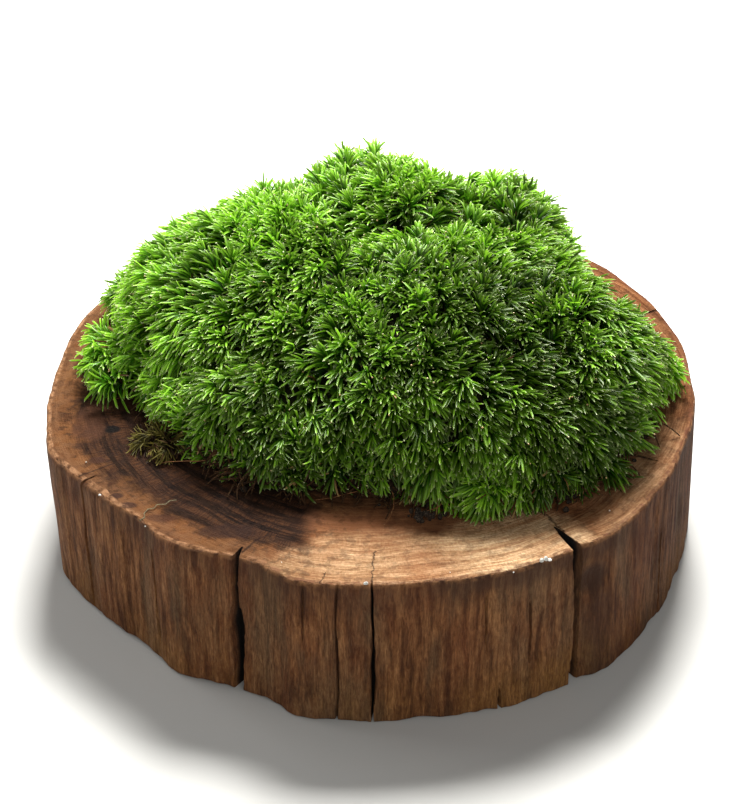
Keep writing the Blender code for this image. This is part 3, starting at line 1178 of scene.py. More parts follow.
@dataclass
class WoodSlice:
    """The sawn slice of log, with its outline read from the frame."""

    effects: Effects
    finish_side: BarklessFinish = BarklessFinish()
    finish_top: SawnFinish = SawnFinish()
    usual_radius: float = 70.0 * MM
    outline_bins: int = 120
    columns: int = 660
    crack_step: float = 0.21 * MM
    crack_reach: float = 2.6 * MM
    side_rows: int = 34
    rim_rows: int = 5
    top_rings: int = 24
    foot_rings: int = 5
    seed: int = 11
    cracks: tuple[Crack, ...] = (
        Crack(-149.0, 0.9, 9.0),
        Crack(-115.5, 2.7, 6.5, at_top=0.5),
        Crack(-97.8, 0.42, 1.8, wander=0.25),
        Crack(-92.3, 0.55, 4.0, swell=1.2),
        Crack(-57.6, 2.3, 9.0, at_top=0.9),
        Crack(24.0, 1.1, 8.0),
        Crack(71.0, 1.7, 11.0),
        Crack(118.0, 0.9, 6.0),
        Crack(152.0, 1.2, 7.0),
        Crack(-103.0, 0.4, 1.5, 0.45, 1.3, 0.3),
        Crack(-74.0, 0.5, 1.4, 0.35, 0.92, 0.3),
        Crack(-71.5, 1.5, 3.0, -1.0, 0.2, 0.1),
        Crack(-66.5, 0.5, 1.6, 0.2, 0.8, 0.3),
        Crack(-131.0, 0.6, 1.8, 0.1, 0.9, 0.4),
        Crack(-34.0, 0.7, 2.0, -0.5, 0.7, 0.4),
        Crack(100.0, 0.6, 2.0, 0.3, 1.3, 0.4),
    )

    def __post_init__(self) -> None:
        """Reads the outline and sets out the noise."""
        self.lumps = Lumps(self.seed)
        wood = Surface.of_node("wood_slice")
        self.height = float(wood.points[:, 2].max())
        self.top_outline = self.read_outline(wood.points, self.height - 1.2 * MM, self.height)
        self.foot_outline = self.read_outline(wood.points, 0.0, 1.2 * MM)

    def read_outline(self, points: np.ndarray, low: float, high: float) -> np.ndarray:
        """Finds how far the wood reaches in each direction, over any crack.

        Args:
            points: Corners of the CAD slice.
            low: Lowest corner height to look at.
            high: Highest corner height to look at.

        Returns:
            One reach for each bin, from -180 degrees on.
        """
        chosen = points[(points[:, 2] >= low) & (points[:, 2] <= high)]
        angles = np.degrees(np.arctan2(chosen[:, 1], chosen[:, 0]))
        reach = np.hypot(chosen[:, 0], chosen[:, 1])
        bins = np.round((angles + 180.0) / 360.0 * self.outline_bins).astype(int) % self.outline_bins
        outline = np.zeros(self.outline_bins)
        np.maximum.at(outline, bins, reach)
        known = np.flatnonzero(outline > 0.8 * outline.max())
        return np.interp(np.arange(self.outline_bins), known, outline[known], period=self.outline_bins)

    def column_angles(self) -> np.ndarray:
        """Angles of the mesh's columns, closer together where there is a crack.

        Returns:
            One angle for each column, from -pi up.
        """
        even = np.arange(self.columns) * 2.0 * math.pi / self.columns - math.pi
        near = np.arange(-self.crack_reach, self.crack_reach, self.crack_step) / self.usual_radius
        close = [math.radians(crack.angle) + near for crack in self.cracks]
        angles = np.sort((np.concatenate([even, *close]) + math.pi) % (2.0 * math.pi) - math.pi)
        return angles[np.concatenate([[True], np.diff(angles) > 0.1 * MM / self.usual_radius])]

    def outline_at(self, angles: np.ndarray, outline: np.ndarray) -> np.ndarray:
        """Reads an outline between its bins, eased so that no corner shows.

        Args:
            angles: Directions to read it in.
            outline: One reach for each bin.

        Returns:
            The reach in each direction.
        """
        place = (np.degrees(angles) + 180.0) / 360.0 * self.outline_bins
        first = np.floor(place).astype(int)
        part = place - first
        before, here, after, last = (outline[(first + k) % len(outline)] for k in (-1, 0, 1, 2))
        start, end = (before + 4.0 * here + after) / 6.0, (here + 4.0 * after + last) / 6.0
        return start + (end - start) * part * part * (3.0 - 2.0 * part)

    def notch(self, angles: np.ndarray, heights: np.ndarray) -> np.ndarray:
        """How deep the cracks cut in at each place on the side.

        Args:
            angles: Direction of each place.
            heights: Height of each place.

        Returns:
            Depth of the cut in metres, zero off the cracks.
        """
        cut = np.zeros_like(angles)
        share = heights / self.height
        for number, crack in enumerate(self.cracks):
            turn = (angles - math.radians(crack.angle) + math.pi) % (2.0 * math.pi) - math.pi
            line = np.stack([np.full_like(heights, 9.3 * number), heights * 0.0, heights / MM], axis=1)
            swell = 0.8 + 0.5 * self.lumps.at(line, 8.0) + 0.15 * self.lumps.at(line, 2.5)
            inside = smooth(crack.low, crack.low + 0.15, share) * smooth(crack.high, crack.high - 0.15, share)
            swell += crack.swell * np.exp(-(((share - 0.34) / 0.2) ** 2))
            inside *= crack.at_top + (1.0 - crack.at_top) * smooth(1.0, 0.86, share)
            half = crack.mouth * MM / 2.0 * swell * np.sqrt(inside) + 1e-6
            gap = np.clip(1.0 - np.abs(turn * self.usual_radius) / half, 0.0, 1.0)
            cut = np.maximum(cut, crack.depth * MM * gap**0.75 * inside)
        return cut

    def warp(self, angles: np.ndarray, radii: np.ndarray, heights: np.ndarray) -> np.ndarray:
        """Bends each crack as it climbs the side and as it runs inwards.

        Args:
            angles: Direction of each corner.
            radii: How far out it is.
            heights: How high it is.

        Returns:
            The new directions.
        """
        moved = angles.copy()
        for number, crack in enumerate(self.cracks):
            turn = (angles - math.radians(crack.angle) + math.pi) % (2.0 * math.pi) - math.pi
            line = np.stack([np.full_like(radii, 5.1 * number), radii / MM, heights / MM], axis=1)
            sway = self.lumps.at(line, 9.0) + 0.35 * self.lumps.at(line, 2.6)
            near = np.exp(-((turn * self.usual_radius / (2.4 * MM)) ** 2))
            moved += crack.wander * MM * sway * near / np.maximum(radii, 10.0 * MM)
        return moved

    def side_relief(self, angles: np.ndarray, heights: np.ndarray) -> np.ndarray:
        """Flutes and fibres that run up the side, deeper near the foot on the left.

        Args:
            angles: Direction of each corner.
            heights: How high it is.

        Returns:
            How far each stands out, in metres.
        """
        around = round_axis(angles, self.usual_radius / MM, heights / MM * 0.1)
        broad = self.lumps.at(around, 9.0)
        narrow = self.lumps.at(around + 31.0, 3.1)
        fibre = self.lumps.at(around + 57.0, 1.1)
        degrees = np.degrees(angles)
        near_left = np.exp(-(((degrees + 140.0) / 24.0) ** 2)) * (1.0 - heights / self.height)
        knot = np.exp(-(((degrees + 54.4) * 1.2 / 2.6) ** 2 + ((heights / MM - 25.0) / 3.0) ** 2))
        set_back = 0.8 * smooth(-57.6, -57.0, degrees) * smooth(-49.0, -54.0, degrees)
        below_rim = smooth(0.3, 5.0, (self.height - heights) / MM)
        fibre, narrow = fibre * below_rim, narrow * (0.3 + 0.7 * below_rim)
        relief = 0.42 * broad + 0.22 * narrow + 0.12 * fibre + 0.7 * near_left * self.lumps.at(around, 5.0)
        return (relief - 1.3 * knot - set_back) * MM

    def build(self) -> bpy.types.Object:
        """Saws the slice: the top's rings, the rounded rims, the side and the underside.

        Returns:
            The slice, without its finishes.
        """
        angles = self.column_angles()
        chips = self.lumps.rough(round_axis(angles, self.usual_radius / MM, 0.0), 8.0, 4)
        worn = np.exp(-(((np.degrees(angles) + 136.0) / 24.0) ** 2))
        top_round = np.clip(0.8 + 0.4 * chips + worn * (0.5 + 1.2 * chips), 0.35, 2.6) * MM
        ragged = self.lumps.rough(round_axis(angles, self.usual_radius / MM, 28.0), 6.0)
        left = np.exp(-(((np.degrees(angles) + 138.0) / 22.0) ** 2))
        foot_round = (1.0 + 0.6 * ragged + 0.7 * left) * MM
        foot_lift = np.maximum(0.0, 0.1 + 0.5 * ragged + 0.7 * left * np.abs(ragged)) * MM
        quarter = np.linspace(0.0, math.pi / 2.0, self.rim_rows + 1)
        top_reach = self.outline_at(angles, self.top_outline)
        foot_reach = self.outline_at(angles, self.foot_outline)

        def on_side(height: np.ndarray, inset: np.ndarray | float) -> np.ndarray:
            """Radius of the side at a height, with its flutes and cracks."""
            reach = foot_reach + (top_reach - foot_reach) * height / self.height
            return reach + self.side_relief(angles, height) - inset - self.notch(angles, height)

        side_top, side_foot = self.height - top_round, foot_lift + foot_round
        shares = np.linspace(0.0, 1.0, self.side_rows)[1:-1]
        fall, bow = 1.0 - np.cos(quarter), 1.0 - np.sin(quarter)
        levels = [(self.height - top_round * down, top_round * inward) for down, inward in zip(fall, bow)]
        levels += [(side_top + (side_foot - side_top) * share, 0.0) for share in shares]
        levels += [(foot_lift + foot_round * up, foot_round * inward) for up, inward in zip(bow, fall)]
        body = [(on_side(height, inset), height, self.height - height) for height, inset in levels]
        rings = []
        for ring in range(self.top_rings, 0, -1):
            share = 1.0 - (1.0 - ring / (self.top_rings + 1.0)) ** 1.6
            widest = body[0][0] - 0.02 * MM * (self.top_rings + 1 - ring)
            radius = np.minimum(share * (top_reach - top_round), widest)
            edge = top_reach - radius
            spot = round_axis(angles, radius, 0.0) / MM
            relief = 0.22 * self.lumps.at(spot, 7.0) + 0.08 * self.lumps.at(spot, 2.0) - 0.25
            eased = smooth(0.0, 6.0 * MM, edge)
            rings.append((radius, self.height + relief * eased * MM, edge))
        foot_radius = body[-1][0]
        under = []
        for ring in range(self.foot_rings, 0, -1):
            share = ring / (self.foot_rings + 1.0)
            radius = np.minimum(share * foot_reach, foot_radius - 0.02 * MM * (self.foot_rings + 1 - ring))
            under.append((radius, foot_lift * share**6, foot_reach * 0.0 + 40.0 * MM))
        return self.assemble(angles, rings[::-1] + body + under, len(rings), len(body))

    def assemble(self, angles: np.ndarray, rows: list, top_rows: int, side_rows: int) -> bpy.types.Object:
        """Joins the rows into one closed mesh with its two finishes.

        Args:
            angles: Direction of each column.
            rows: Radius, height and distance from the rim, from the top's heart outwards.
            top_rows: How many rows lie on the sawn top.
            side_rows: How many rows lie on the side.

        Returns:
            The slice.
        """
        radius = np.concatenate([row[0] for row in rows])
        height = np.concatenate([row[1] for row in rows])
        around = np.tile(angles, len(rows))
        turned = self.warp(around, radius, height)
        points = round_axis(turned, radius, height)
        heart, sole = len(points), len(points) + 1
        points = np.concatenate([points, [[0.0, 0.0, self.height - 0.2 * MM], [0.0, 0.0, 0.0]]])
        number = np.arange(heart).reshape(len(rows), len(angles))
        first, last = number[0], number[-1]
        lid = np.stack([np.full_like(first, heart), first, np.roll(first, -1)], axis=1)
        base = np.stack([np.full_like(last, sole), np.roll(last, -1), last], axis=1)
        piece = piece_of("wood_slice_detailed", points, [faces_between(number), lid, base])
        kinds = np.full((len(rows) - 1, len(angles)), Face.SAWN.value)
        kinds[top_rows + self.rim_rows // 2 : top_rows + side_rows - 1] = Face.BARKLESS.value
        slots = np.concatenate([kinds.ravel(), np.full(2 * len(angles), Face.SAWN.value)])
        piece.data.polygons.foreach_set("material_index", slots.astype(np.int32))
        rim = np.concatenate([row[2] for row in rows]) / MM
        note_values(piece, "rim", np.concatenate([rim, [70.0, 40.0]]))
        # How deep each corner lies in a crack, which the finishes darken as painted shade.
        crack_shade = np.concatenate([self.notch(angles, row[1]) for row in rows]) / MM
        on_top = np.arange(len(rows)).repeat(len(angles)) < top_rows
        crack_shade = np.where(on_top, np.clip(crack_shade - (rim - 1.0), 0.0, 1.2), crack_shade)
        note_values(piece, "crack_shade", np.concatenate([crack_shade, [0.0, 0.0]]))
        piece.data.set_sharp_from_angle(angle=math.radians(48.0))
        return piece

    def make(self) -> None:
        """Builds the slice and puts it in the place of the plain one."""
        piece = self.build()
        piece.data.materials.append(self.finish_side.material(self.effects))
        hand_over(piece, self.finish_top.material(self.effects), ("wood_slice",))


# ------------------------------------------------------------------------ moss


@dataclass(frozen=True)
class LeafHabit:
    """How leaves grow on one kind of shoot. Angles are in degrees from the shoot's axis."""

    count: int = 46
    stem: float = 5.6 * MM
    short: float = 4.6 * MM
    long: float = 7.4 * MM
    width: float = 0.84 * MM
    upright: float = 4.0
    spreading: float = 32.0
    curl: tuple[float, float] = (34.0, 104.0)
    side_curl: float = 16.0
    sweep: float = 1.75
    fold: float = 50.0
    droop: float = 0.7 * MM
    profile: tuple[tuple[float, float], ...] = (
        (0.0, 0.85), (0.34, 1.0), (0.66, 0.95), (0.92, 0.72), (1.0, 0.0),
    )


@dataclass
class Shoots:
    """Shoots standing ready for their leaves: one row for each."""

    apex: np.ndarray
    axis: np.ndarray
    comb: np.ndarray
    vigour: np.ndarray
    # The shoot's colour tone, with painted light and shade worked in.
    tone: np.ndarray
    age: np.ndarray

    def __len__(self) -> int:
        """Number of shoots."""
        return len(self.apex)

    def some(self, chosen: np.ndarray) -> "Shoots":
        """The shoots that a mask picks out."""
        return Shoots(*(getattr(self, part.name)[chosen] for part in fields(self)))


@dataclass(frozen=True)
class Dip:
    """Where the cushion's shoots have sunk or died, in millimetres.

    A negative sink makes them stand proud; dead is the share of dead leaves that it adds.
    """

    place: tuple[float, float, float]
    reach: float
    sink: float
    dead: float = 0.0


@dataclass
class LeafMesh:
    """Leaves as arrays, before they become a piece."""

    points: np.ndarray
    along: np.ndarray
    across: np.ndarray
    tone: np.ndarray
    tips: np.ndarray


class LeafGrower:
    """Grows leaves on shoots, all at once."""

    STATIONS_ACROSS = 3

    def __init__(self, habit: LeafHabit, floor: float, rng: np.random.Generator) -> None:
        """Takes what every leaf shares.

        Args:
            habit: How the leaves grow.
            floor: Height that no leaf goes below.
            rng: Source of the random draws.
        """
        self.habit = habit
        self.floor = floor
        self.rng = rng

    def grow(self, shoots: Shoots) -> LeafMesh:
        """Grows every leaf of the shoots.

        Args:
            shoots: The shoots to clothe.

        Returns:
            The leaves' points and what their shader reads.
        """
        habit, rng = self.habit, self.rng
        count, total = habit.count, habit.count * len(shoots)
        rank = np.tile((np.arange(count) + 0.5) / count, len(shoots))
        owner = np.repeat(np.arange(len(shoots)), count)
        axis = shoots.axis[owner]
        vigour = shoots.vigour[owner]
        guide = np.where(np.abs(axis[:, 2:]) > 0.95, [[1.0, 0.0, 0.0]], [[0.0, 0.0, 1.0]])
        side = unit(np.cross(axis, guide))
        other = np.cross(axis, side)
        start_turn = rng.uniform(0.0, 2.0 * math.pi, len(shoots))[owner]
        turn = start_turn + np.tile(np.arange(count), len(shoots)) * GOLDEN_ANGLE
        turn += rng.normal(0.0, 0.22, total)
        low = habit.upright + (habit.spreading - habit.upright) * rank**0.75
        steep = np.clip(axis[:, 2], 0.0, 1.0)
        low *= 1.0 - 0.25 * steep
        low = np.radians(low * (1.35 - 0.35 * vigour) + rng.normal(0.0, 7.0, total))
        bend = habit.curl[0] + (habit.curl[1] - habit.curl[0]) * rank
        bend = np.radians(bend + rng.normal(0.0, 10.0, total))
        bend *= 1.0 - 0.25 * steep
        twist = np.radians(rng.normal(0.0, habit.side_curl, total))
        roll = rng.normal(0.0, 0.35, total)
        length = habit.short + (habit.long - habit.short) * smooth(0.0, 0.6, rank)
        length = length * (0.72 + 0.28 * vigour) * rng.normal(1.0, 0.11, total)
        width = habit.width * rng.normal(1.0, 0.13, total) * (0.82 + 0.18 * rank)
        foot = shoots.apex[owner] - axis * (habit.stem * rank)[:, None]
        comb = shoots.comb[owner] * (habit.sweep * rng.normal(1.0, 0.2, total))[:, None]

        def aim(share: float) -> tuple[np.ndarray, np.ndarray]:
            """Which way each leaf leans out, and which way it runs, at a share of its length."""
            swing = turn + twist * share**1.5
            tilt = low + bend * share
            outward = np.cos(swing)[:, None] * side + np.sin(swing)[:, None] * other
            ahead = np.cos(tilt)[:, None] * axis + np.sin(tilt)[:, None] * outward
            return outward, unit(ahead + comb * share)

        place, previous = foot, 0.0
        rows, along, across = [], [], []
        for station, share in habit.profile:
            _, ahead = aim((station + previous) / 2.0)
            place = place + ahead * (length * (station - previous))[:, None]
            previous = station
            outward, ahead = aim(station)
            inner = unit(np.cross(ahead, np.cross(axis, outward)))
            flat = np.cross(inner, ahead)
            rolled = roll * station
            edge = np.cos(rolled)[:, None] * flat + np.sin(rolled)[:, None] * inner
            lift = np.cos(rolled)[:, None] * inner - np.sin(rolled)[:, None] * flat
            sunk = place - np.array([0.0, 0.0, habit.droop * station**2])
            half = (width * share / 2.0)[:, None]
            if share == 0.0:
                rows.append(sunk)
                along.append(station)
                across.append(0.5)
                continue
            fold = math.radians(habit.fold * (1.0 - 0.2 * station))
            reach = edge * math.cos(fold) * half
            rise = lift * math.sin(fold) * half
            for offset, share_across in ((-reach + rise, 0.0), (0.0, 0.5), (reach + rise, 1.0)):
                rows.append(sunk + offset)
                along.append(station)
                across.append(share_across)
        points = np.stack(rows, axis=1)
        points[..., 2] = np.maximum(points[..., 2], self.floor + rng.uniform(0.05, 0.5, total)[:, None] * MM)
        # Each leaf takes its shoot's tone, painted light and shade included; leaves further down the shoot
        # are darker.
        tone = shoots.tone[owner] + rng.normal(0.0, 0.18, total) - 0.16 * rank
        tone = np.clip(tone, 0.0, 0.89)
        aged = rng.uniform(0.0, 1.0, total) < shoots.age[owner] * (0.35 + 0.65 * rank)
        tone = np.where(aged, rng.choice((0.93, 0.98), total), tone)
        return LeafMesh(points, np.array(along), np.array(across), tone, points[:, -1])

    def piece(self, name: str, leaves: LeafMesh) -> bpy.types.Object:
        """Makes one object of many leaves.

        Args:
            name: The piece's name.
            leaves: The grown leaves.

        Returns:
            The object, with its leaf coordinates and tones.
        """
        total, per_leaf, _ = leaves.points.shape
        across = self.STATIONS_ACROSS
        rows = (per_leaf - 1) // across
        pattern = []
        for row in range(rows - 1):
            for column in range(across - 1):
                corner = row * across + column
                pattern.append((corner, corner + 1, corner + across + 1))
                pattern.append((corner, corner + across + 1, corner + across))
        for column in range(across - 1):
            corner = (rows - 1) * across + column
            pattern.append((corner, corner + 1, per_leaf - 1))
        faces = (np.arange(total)[:, None, None] * per_leaf + np.array(pattern)).reshape(-1, 3)
        piece = piece_of(name, leaves.points.reshape(-1, 3), [faces])
        step = np.minimum((leaves.tone * TONES).astype(int), TONES - 1)
        note_values(piece, "tone", np.repeat((step + 0.5) / TONES, per_leaf))
        along = np.tile(leaves.along, total)[faces.ravel()]
        sideways = np.tile(leaves.across, total)[faces.ravel()]
        stacked = (np.repeat(step, len(pattern) * 3) + 0.1 + 0.8 * sideways) / TONES
        self.lay_map(piece, "blade", along, sideways)
        self.lay_map(piece, "OFBake", along * 0.98 + 0.01, stacked)
        return piece

    def lay_map(self, piece: bpy.types.Object, name: str, first: np.ndarray, second: np.ndarray) -> None:
        """Stores a pair of numbers for each face corner, as a UV map."""
        layer = piece.data.uv_layers.new(name=name)
        layer.data.foreach_set("uv", np.stack([first, second], axis=1).astype(np.float32).ravel())


@dataclass
class MossCushion:
    """The main cushion: hundreds of leafy shoots on a dark felt of old growth."""

    effects: Effects
    habit: LeafHabit = LeafHabit()
    gap: float = 3.3 * MM
    depth: float = 4.4 * MM
    felt_inset: float = 7.5 * MM
    seed: int = 5
    dips: tuple[Dip, ...] = (
        Dip((-14.0, -31.0, 55.0), 4.0, 3.2, 0.08),
        Dip((-52.0, -6.0, 49.0), 5.0, 1.4, 0.03),
        Dip((-57.0, -4.0, 43.0), 7.0, -2.0),
        Dip((11.0, 24.0, 64.0), 8.0, -3.4),
        Dip((48.0, 10.0, 56.0), 8.0, 6.2),
        Dip((-28.0, 34.0, 61.0), 7.0, -3.0),
        Dip((-3.0, -21.0, 66.0), 5.0, 2.2, 0.03),
        Dip((3.0, -33.0, 61.0), 4.0, 2.0, 0.03),
        Dip((16.0, -32.0, 65.0), 3.5, 1.8, 0.03),
        Dip((-28.0, -22.0, 57.0), 4.0, 1.8, 0.03),
        Dip((38.0, 40.0, 52.0), 5.0, 3.0, 0.2),
        Dip((-30.0, 38.0, 50.0), 5.0, 3.0, 0.2),
        Dip((-34.0, -36.0, 39.0), 8.0, 4.6, 0.2),
        Dip((2.0, -46.0, 38.0), 5.0, 3.4, 0.2),
        Dip((-10.0, -42.0, 40.0), 5.0, -1.8),
        Dip((57.0, -22.0, 38.0), 8.0, 5.0),
        Dip((63.0, -14.0, 37.0), 8.0, 6.0),
        Dip((45.0, 5.0, 59.0), 9.0, 7.6),
        Dip((43.0, 27.0, 57.0), 6.0, 7.4),
        Dip((39.0, 33.0, 62.0), 5.0, 2.8),
        Dip((-16.0, 44.0, 64.0), 6.0, 4.8),
        Dip((-7.0, 42.0, 69.0), 5.0, -1.4),
        Dip((-48.0, 14.0, 57.0), 11.0, -3.2),
        Dip((-42.0, 17.0, 62.0), 7.0, -1.2),
        Dip((-30.0, 30.0, 61.0), 8.0, -1.0),
        Dip((-33.0, 8.0, 66.0), 9.0, -1.8),
        Dip((-20.0, 17.0, 68.0), 9.0, -1.8),
        Dip((16.0, 31.0, 64.0), 7.0, -3.6),
        Dip((45.0, -39.0, 43.0), 8.0, -1.4),
        Dip((-50.0, -24.0, 45.0), 7.0, -2.6),
        Dip((-64.0, -14.0, 36.0), 7.0, 5.0),
    )

    def __post_init__(self) -> None:
        """Sets out the noise and the random draws."""
        self.rng = np.random.default_rng(self.seed)
        self.lumps = Lumps(self.seed)
        self.wood_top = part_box("wood_slice")[1].z

    def plant(self) -> Shoots:
        """Sets shoots over the CAD cushion, each a little below its surface.

        Returns:
            The shoots.
        """
        rng = self.rng
        places, normals = Surface.of_node("moss_cushion").scatter(self.gap, rng)
        open_air = normals[:, 2] > -0.45
        places, normals = places[open_air], normals[open_air]
        count = len(places)
        lean = 1.25 * smooth(6.0 * MM, 28.0 * MM, places[:, 2] - self.wood_top)
        waves = np.stack([self.lumps.at(places + shift, 13.0 * MM) for shift in (0.0, 0.3, 0.6)], axis=1)
        outward = normals + lean[:, None] * [0.0, 0.0, 1.0]
        axis = unit(outward + 0.5 * waves + rng.normal(0.0, 0.24, (count, 3)))
        flow = np.stack([self.lumps.at(places + shift, 16.0 * MM) for shift in (0.9, 1.2, 1.5)], axis=1)
        flow += 0.25 * rng.normal(0.0, 1.0, (count, 3))
        away = (places - places.mean(axis=0)) * [1.0, 1.0, 0.0] / (45.0 * MM)
        flow += 0.75 * away + [-0.12, 0.0, 0.0]
        flow[:, 2] -= 0.5 * (1.0 - np.clip(normals[:, 2], 0.0, 1.0))
        comb = flow - axis * (flow * axis).sum(axis=1, keepdims=True)
        comb = unit(comb) * np.minimum(np.linalg.norm(comb, axis=1, keepdims=True) * 1.6, 1.0)
        vigour = np.clip(rng.normal(1.0, 0.13, count) + 0.12 * self.lumps.at(places, 9.0 * MM), 0.6, 1.35)
        sink = rng.normal(0.0, 0.8 * MM, count) - 1.1 * MM * self.lumps.at(places + 0.7, 8.0 * MM)
        age = np.clip(rng.normal(-0.02, 0.012, count), 0.0, 1.0)
        for dip in self.dips:
            offset = places - np.array(dip.place) * MM
            near = np.exp(-(offset**2).sum(axis=1) / (dip.reach * MM) ** 2)
            sink += dip.sink * MM * near
            age += dip.dead * near
        low_down = smooth(9.0 * MM, 1.0 * MM, places[:, 2] - self.wood_top)
        age += 0.22 * low_down
        # The tone is the shoot's own colour with painted light worked in: lighter where the surface faces
        # back and left, darker where it faces up, lighter towards the back left as if lit from behind, and
        # darker low down.
        tone = 0.5 + 0.2 * self.lumps.at(places, 22.0 * MM) + 0.12 * self.lumps.at(places, 6.0 * MM)
        tone += rng.normal(0.0, 0.06, count) - 0.08 * low_down + 0.26 * normals @ np.array([-0.45, 0.7, -0.3])
        tone += 0.34 * smooth(-20.0 * MM, 32.0 * MM, places[:, 1] - 0.5 * places[:, 0]) - 0.11
        # Painted shade: darker round the middle of the cushion, a little to the front.
        shaded = np.hypot(places[:, 0] - 8.0 * MM, places[:, 1] + 20.0 * MM) / (30.0 * MM)
        tone -= 0.1 * np.exp(-(shaded**2))
        apex = places - axis * (self.depth + sink)[:, None]
        return Shoots(apex, axis, comb, vigour, tone, age)

    def make_felt(self) -> None:
        """Builds the dark body of old growth under the shoots."""
        body = Surface.of_node("moss_cushion")
        inset = self.felt_inset * (1.0 + 0.25 * self.lumps.rough(body.points, 6.0 * MM))
        points = body.points - body.normals * inset[:, None]
        points[:, 2] = np.maximum(points[:, 2], self.wood_top + 0.6 * MM)
        piece = piece_of("moss_felt", points, [body.faces])
        finish = MottledFinish("Old Growth", paint(12, 14, 4), paint(24, 28, 7), paint(46, 40, 16), 0.5)
        hand_over(piece, finish.material(self.effects), ("moss_cushion",))

    def make_stems(self, shoots: Shoots) -> None:
        """Builds the stalk under each shoot.

        Args:
            shoots: The cushion's shoots.
        """
        steps = np.linspace(0.0, 1.0, 4)
        length = self.habit.stem + 2.5 * MM
        sway = self.rng.normal(0.0, 0.5 * MM, (len(shoots), 3))
        paths = shoots.apex[:, None] - shoots.axis[:, None] * (steps * length)[:, None]
        paths = paths + sway[:, None] * (steps**2)[:, None]
        paths[..., 2] = np.maximum(paths[..., 2], self.wood_top + 0.4 * MM)
        radii = np.broadcast_to(0.28 * MM + 0.12 * MM * steps, paths.shape[:2])
        piece = piece_of("shoot_stems", *tubes(paths, radii, 4))
        finish = MottledFinish("Stems", paint(40, 44, 14), paint(74, 70, 26), paint(108, 84, 44), 0.5)
        hand_over(piece, finish.material(self.effects))

    def make_beads(self, tips: np.ndarray) -> None:
        """Sets a pale bead on some of the leaf points that face the open: pale tips, with painted glints.

        Args:
            tips: Every leaf point.
        """
        high = tips[tips[:, 2] > self.wood_top + 3.0 * MM]
        chosen = high[self.rng.random(len(high)) < 0.09]
        size = self.rng.uniform(0.11, 0.23, len(chosen))[:, None, None] * MM
        bead = ball(0)
        stretch = self.rng.uniform(0.7, 1.3, (len(chosen), 1, 3))
        points = (chosen[:, None] + bead.points * size * stretch).reshape(-1, 3)
        faces = (np.arange(len(chosen))[:, None, None] * len(bead.points) + bead.faces).reshape(-1, 3)
        piece = piece_of("leaf_points", points, [faces])
        hand_over(piece, TipFinish().material(self.effects))

    def make(self, leaf: bpy.types.Material) -> None:
        """Builds the cushion, in four parts so that none is too heavy.

        Args:
            leaf: The leaf material.
        """
        self.make_felt()
        shoots = self.plant()
        log.info("cushion: %d shoots", len(shoots))
        self.make_stems(shoots)
        grower = LeafGrower(self.habit, self.wood_top, self.rng)
        middle = np.median(shoots.apex, axis=0)
        quarters = {
            "moss_front_left": (False, False), "moss_front_right": (True, False),
            "moss_back_left": (False, True), "moss_back_right": (True, True),
        }
        tips = []
        for name, (right, back) in quarters.items():
            chosen = ((shoots.apex[:, 0] > middle[0]) == right) & ((shoots.apex[:, 1] > middle[1]) == back)
            leaves = grower.grow(shoots.some(chosen))
            tips.append(leaves.tips)
            piece = grower.piece(name, leaves)
            hand_over(piece, leaf, ("moss_cushion",))
        self.make_beads(np.concatenate(tips))


@dataclass(frozen=True)
class Tuft:
    """One small tuft: the CAD solid it stands for, and how its few shoots stand.

    Shift moves it from the middle of its solid, in millimetres. Core is the share
    of the solid's width that the growing points fill, and rise is the share of its
    height that they stand at.
    """

    node: str
    shoots: int
    toward: tuple[float, float, float]
    shift: tuple[float, float, float] = (0.0, 0.0, 0.0)
    core: float = 0.42
    rise: float = 0.35
    splay: float = 0.6
    stature: float = 0.85
    age: float = 0.02


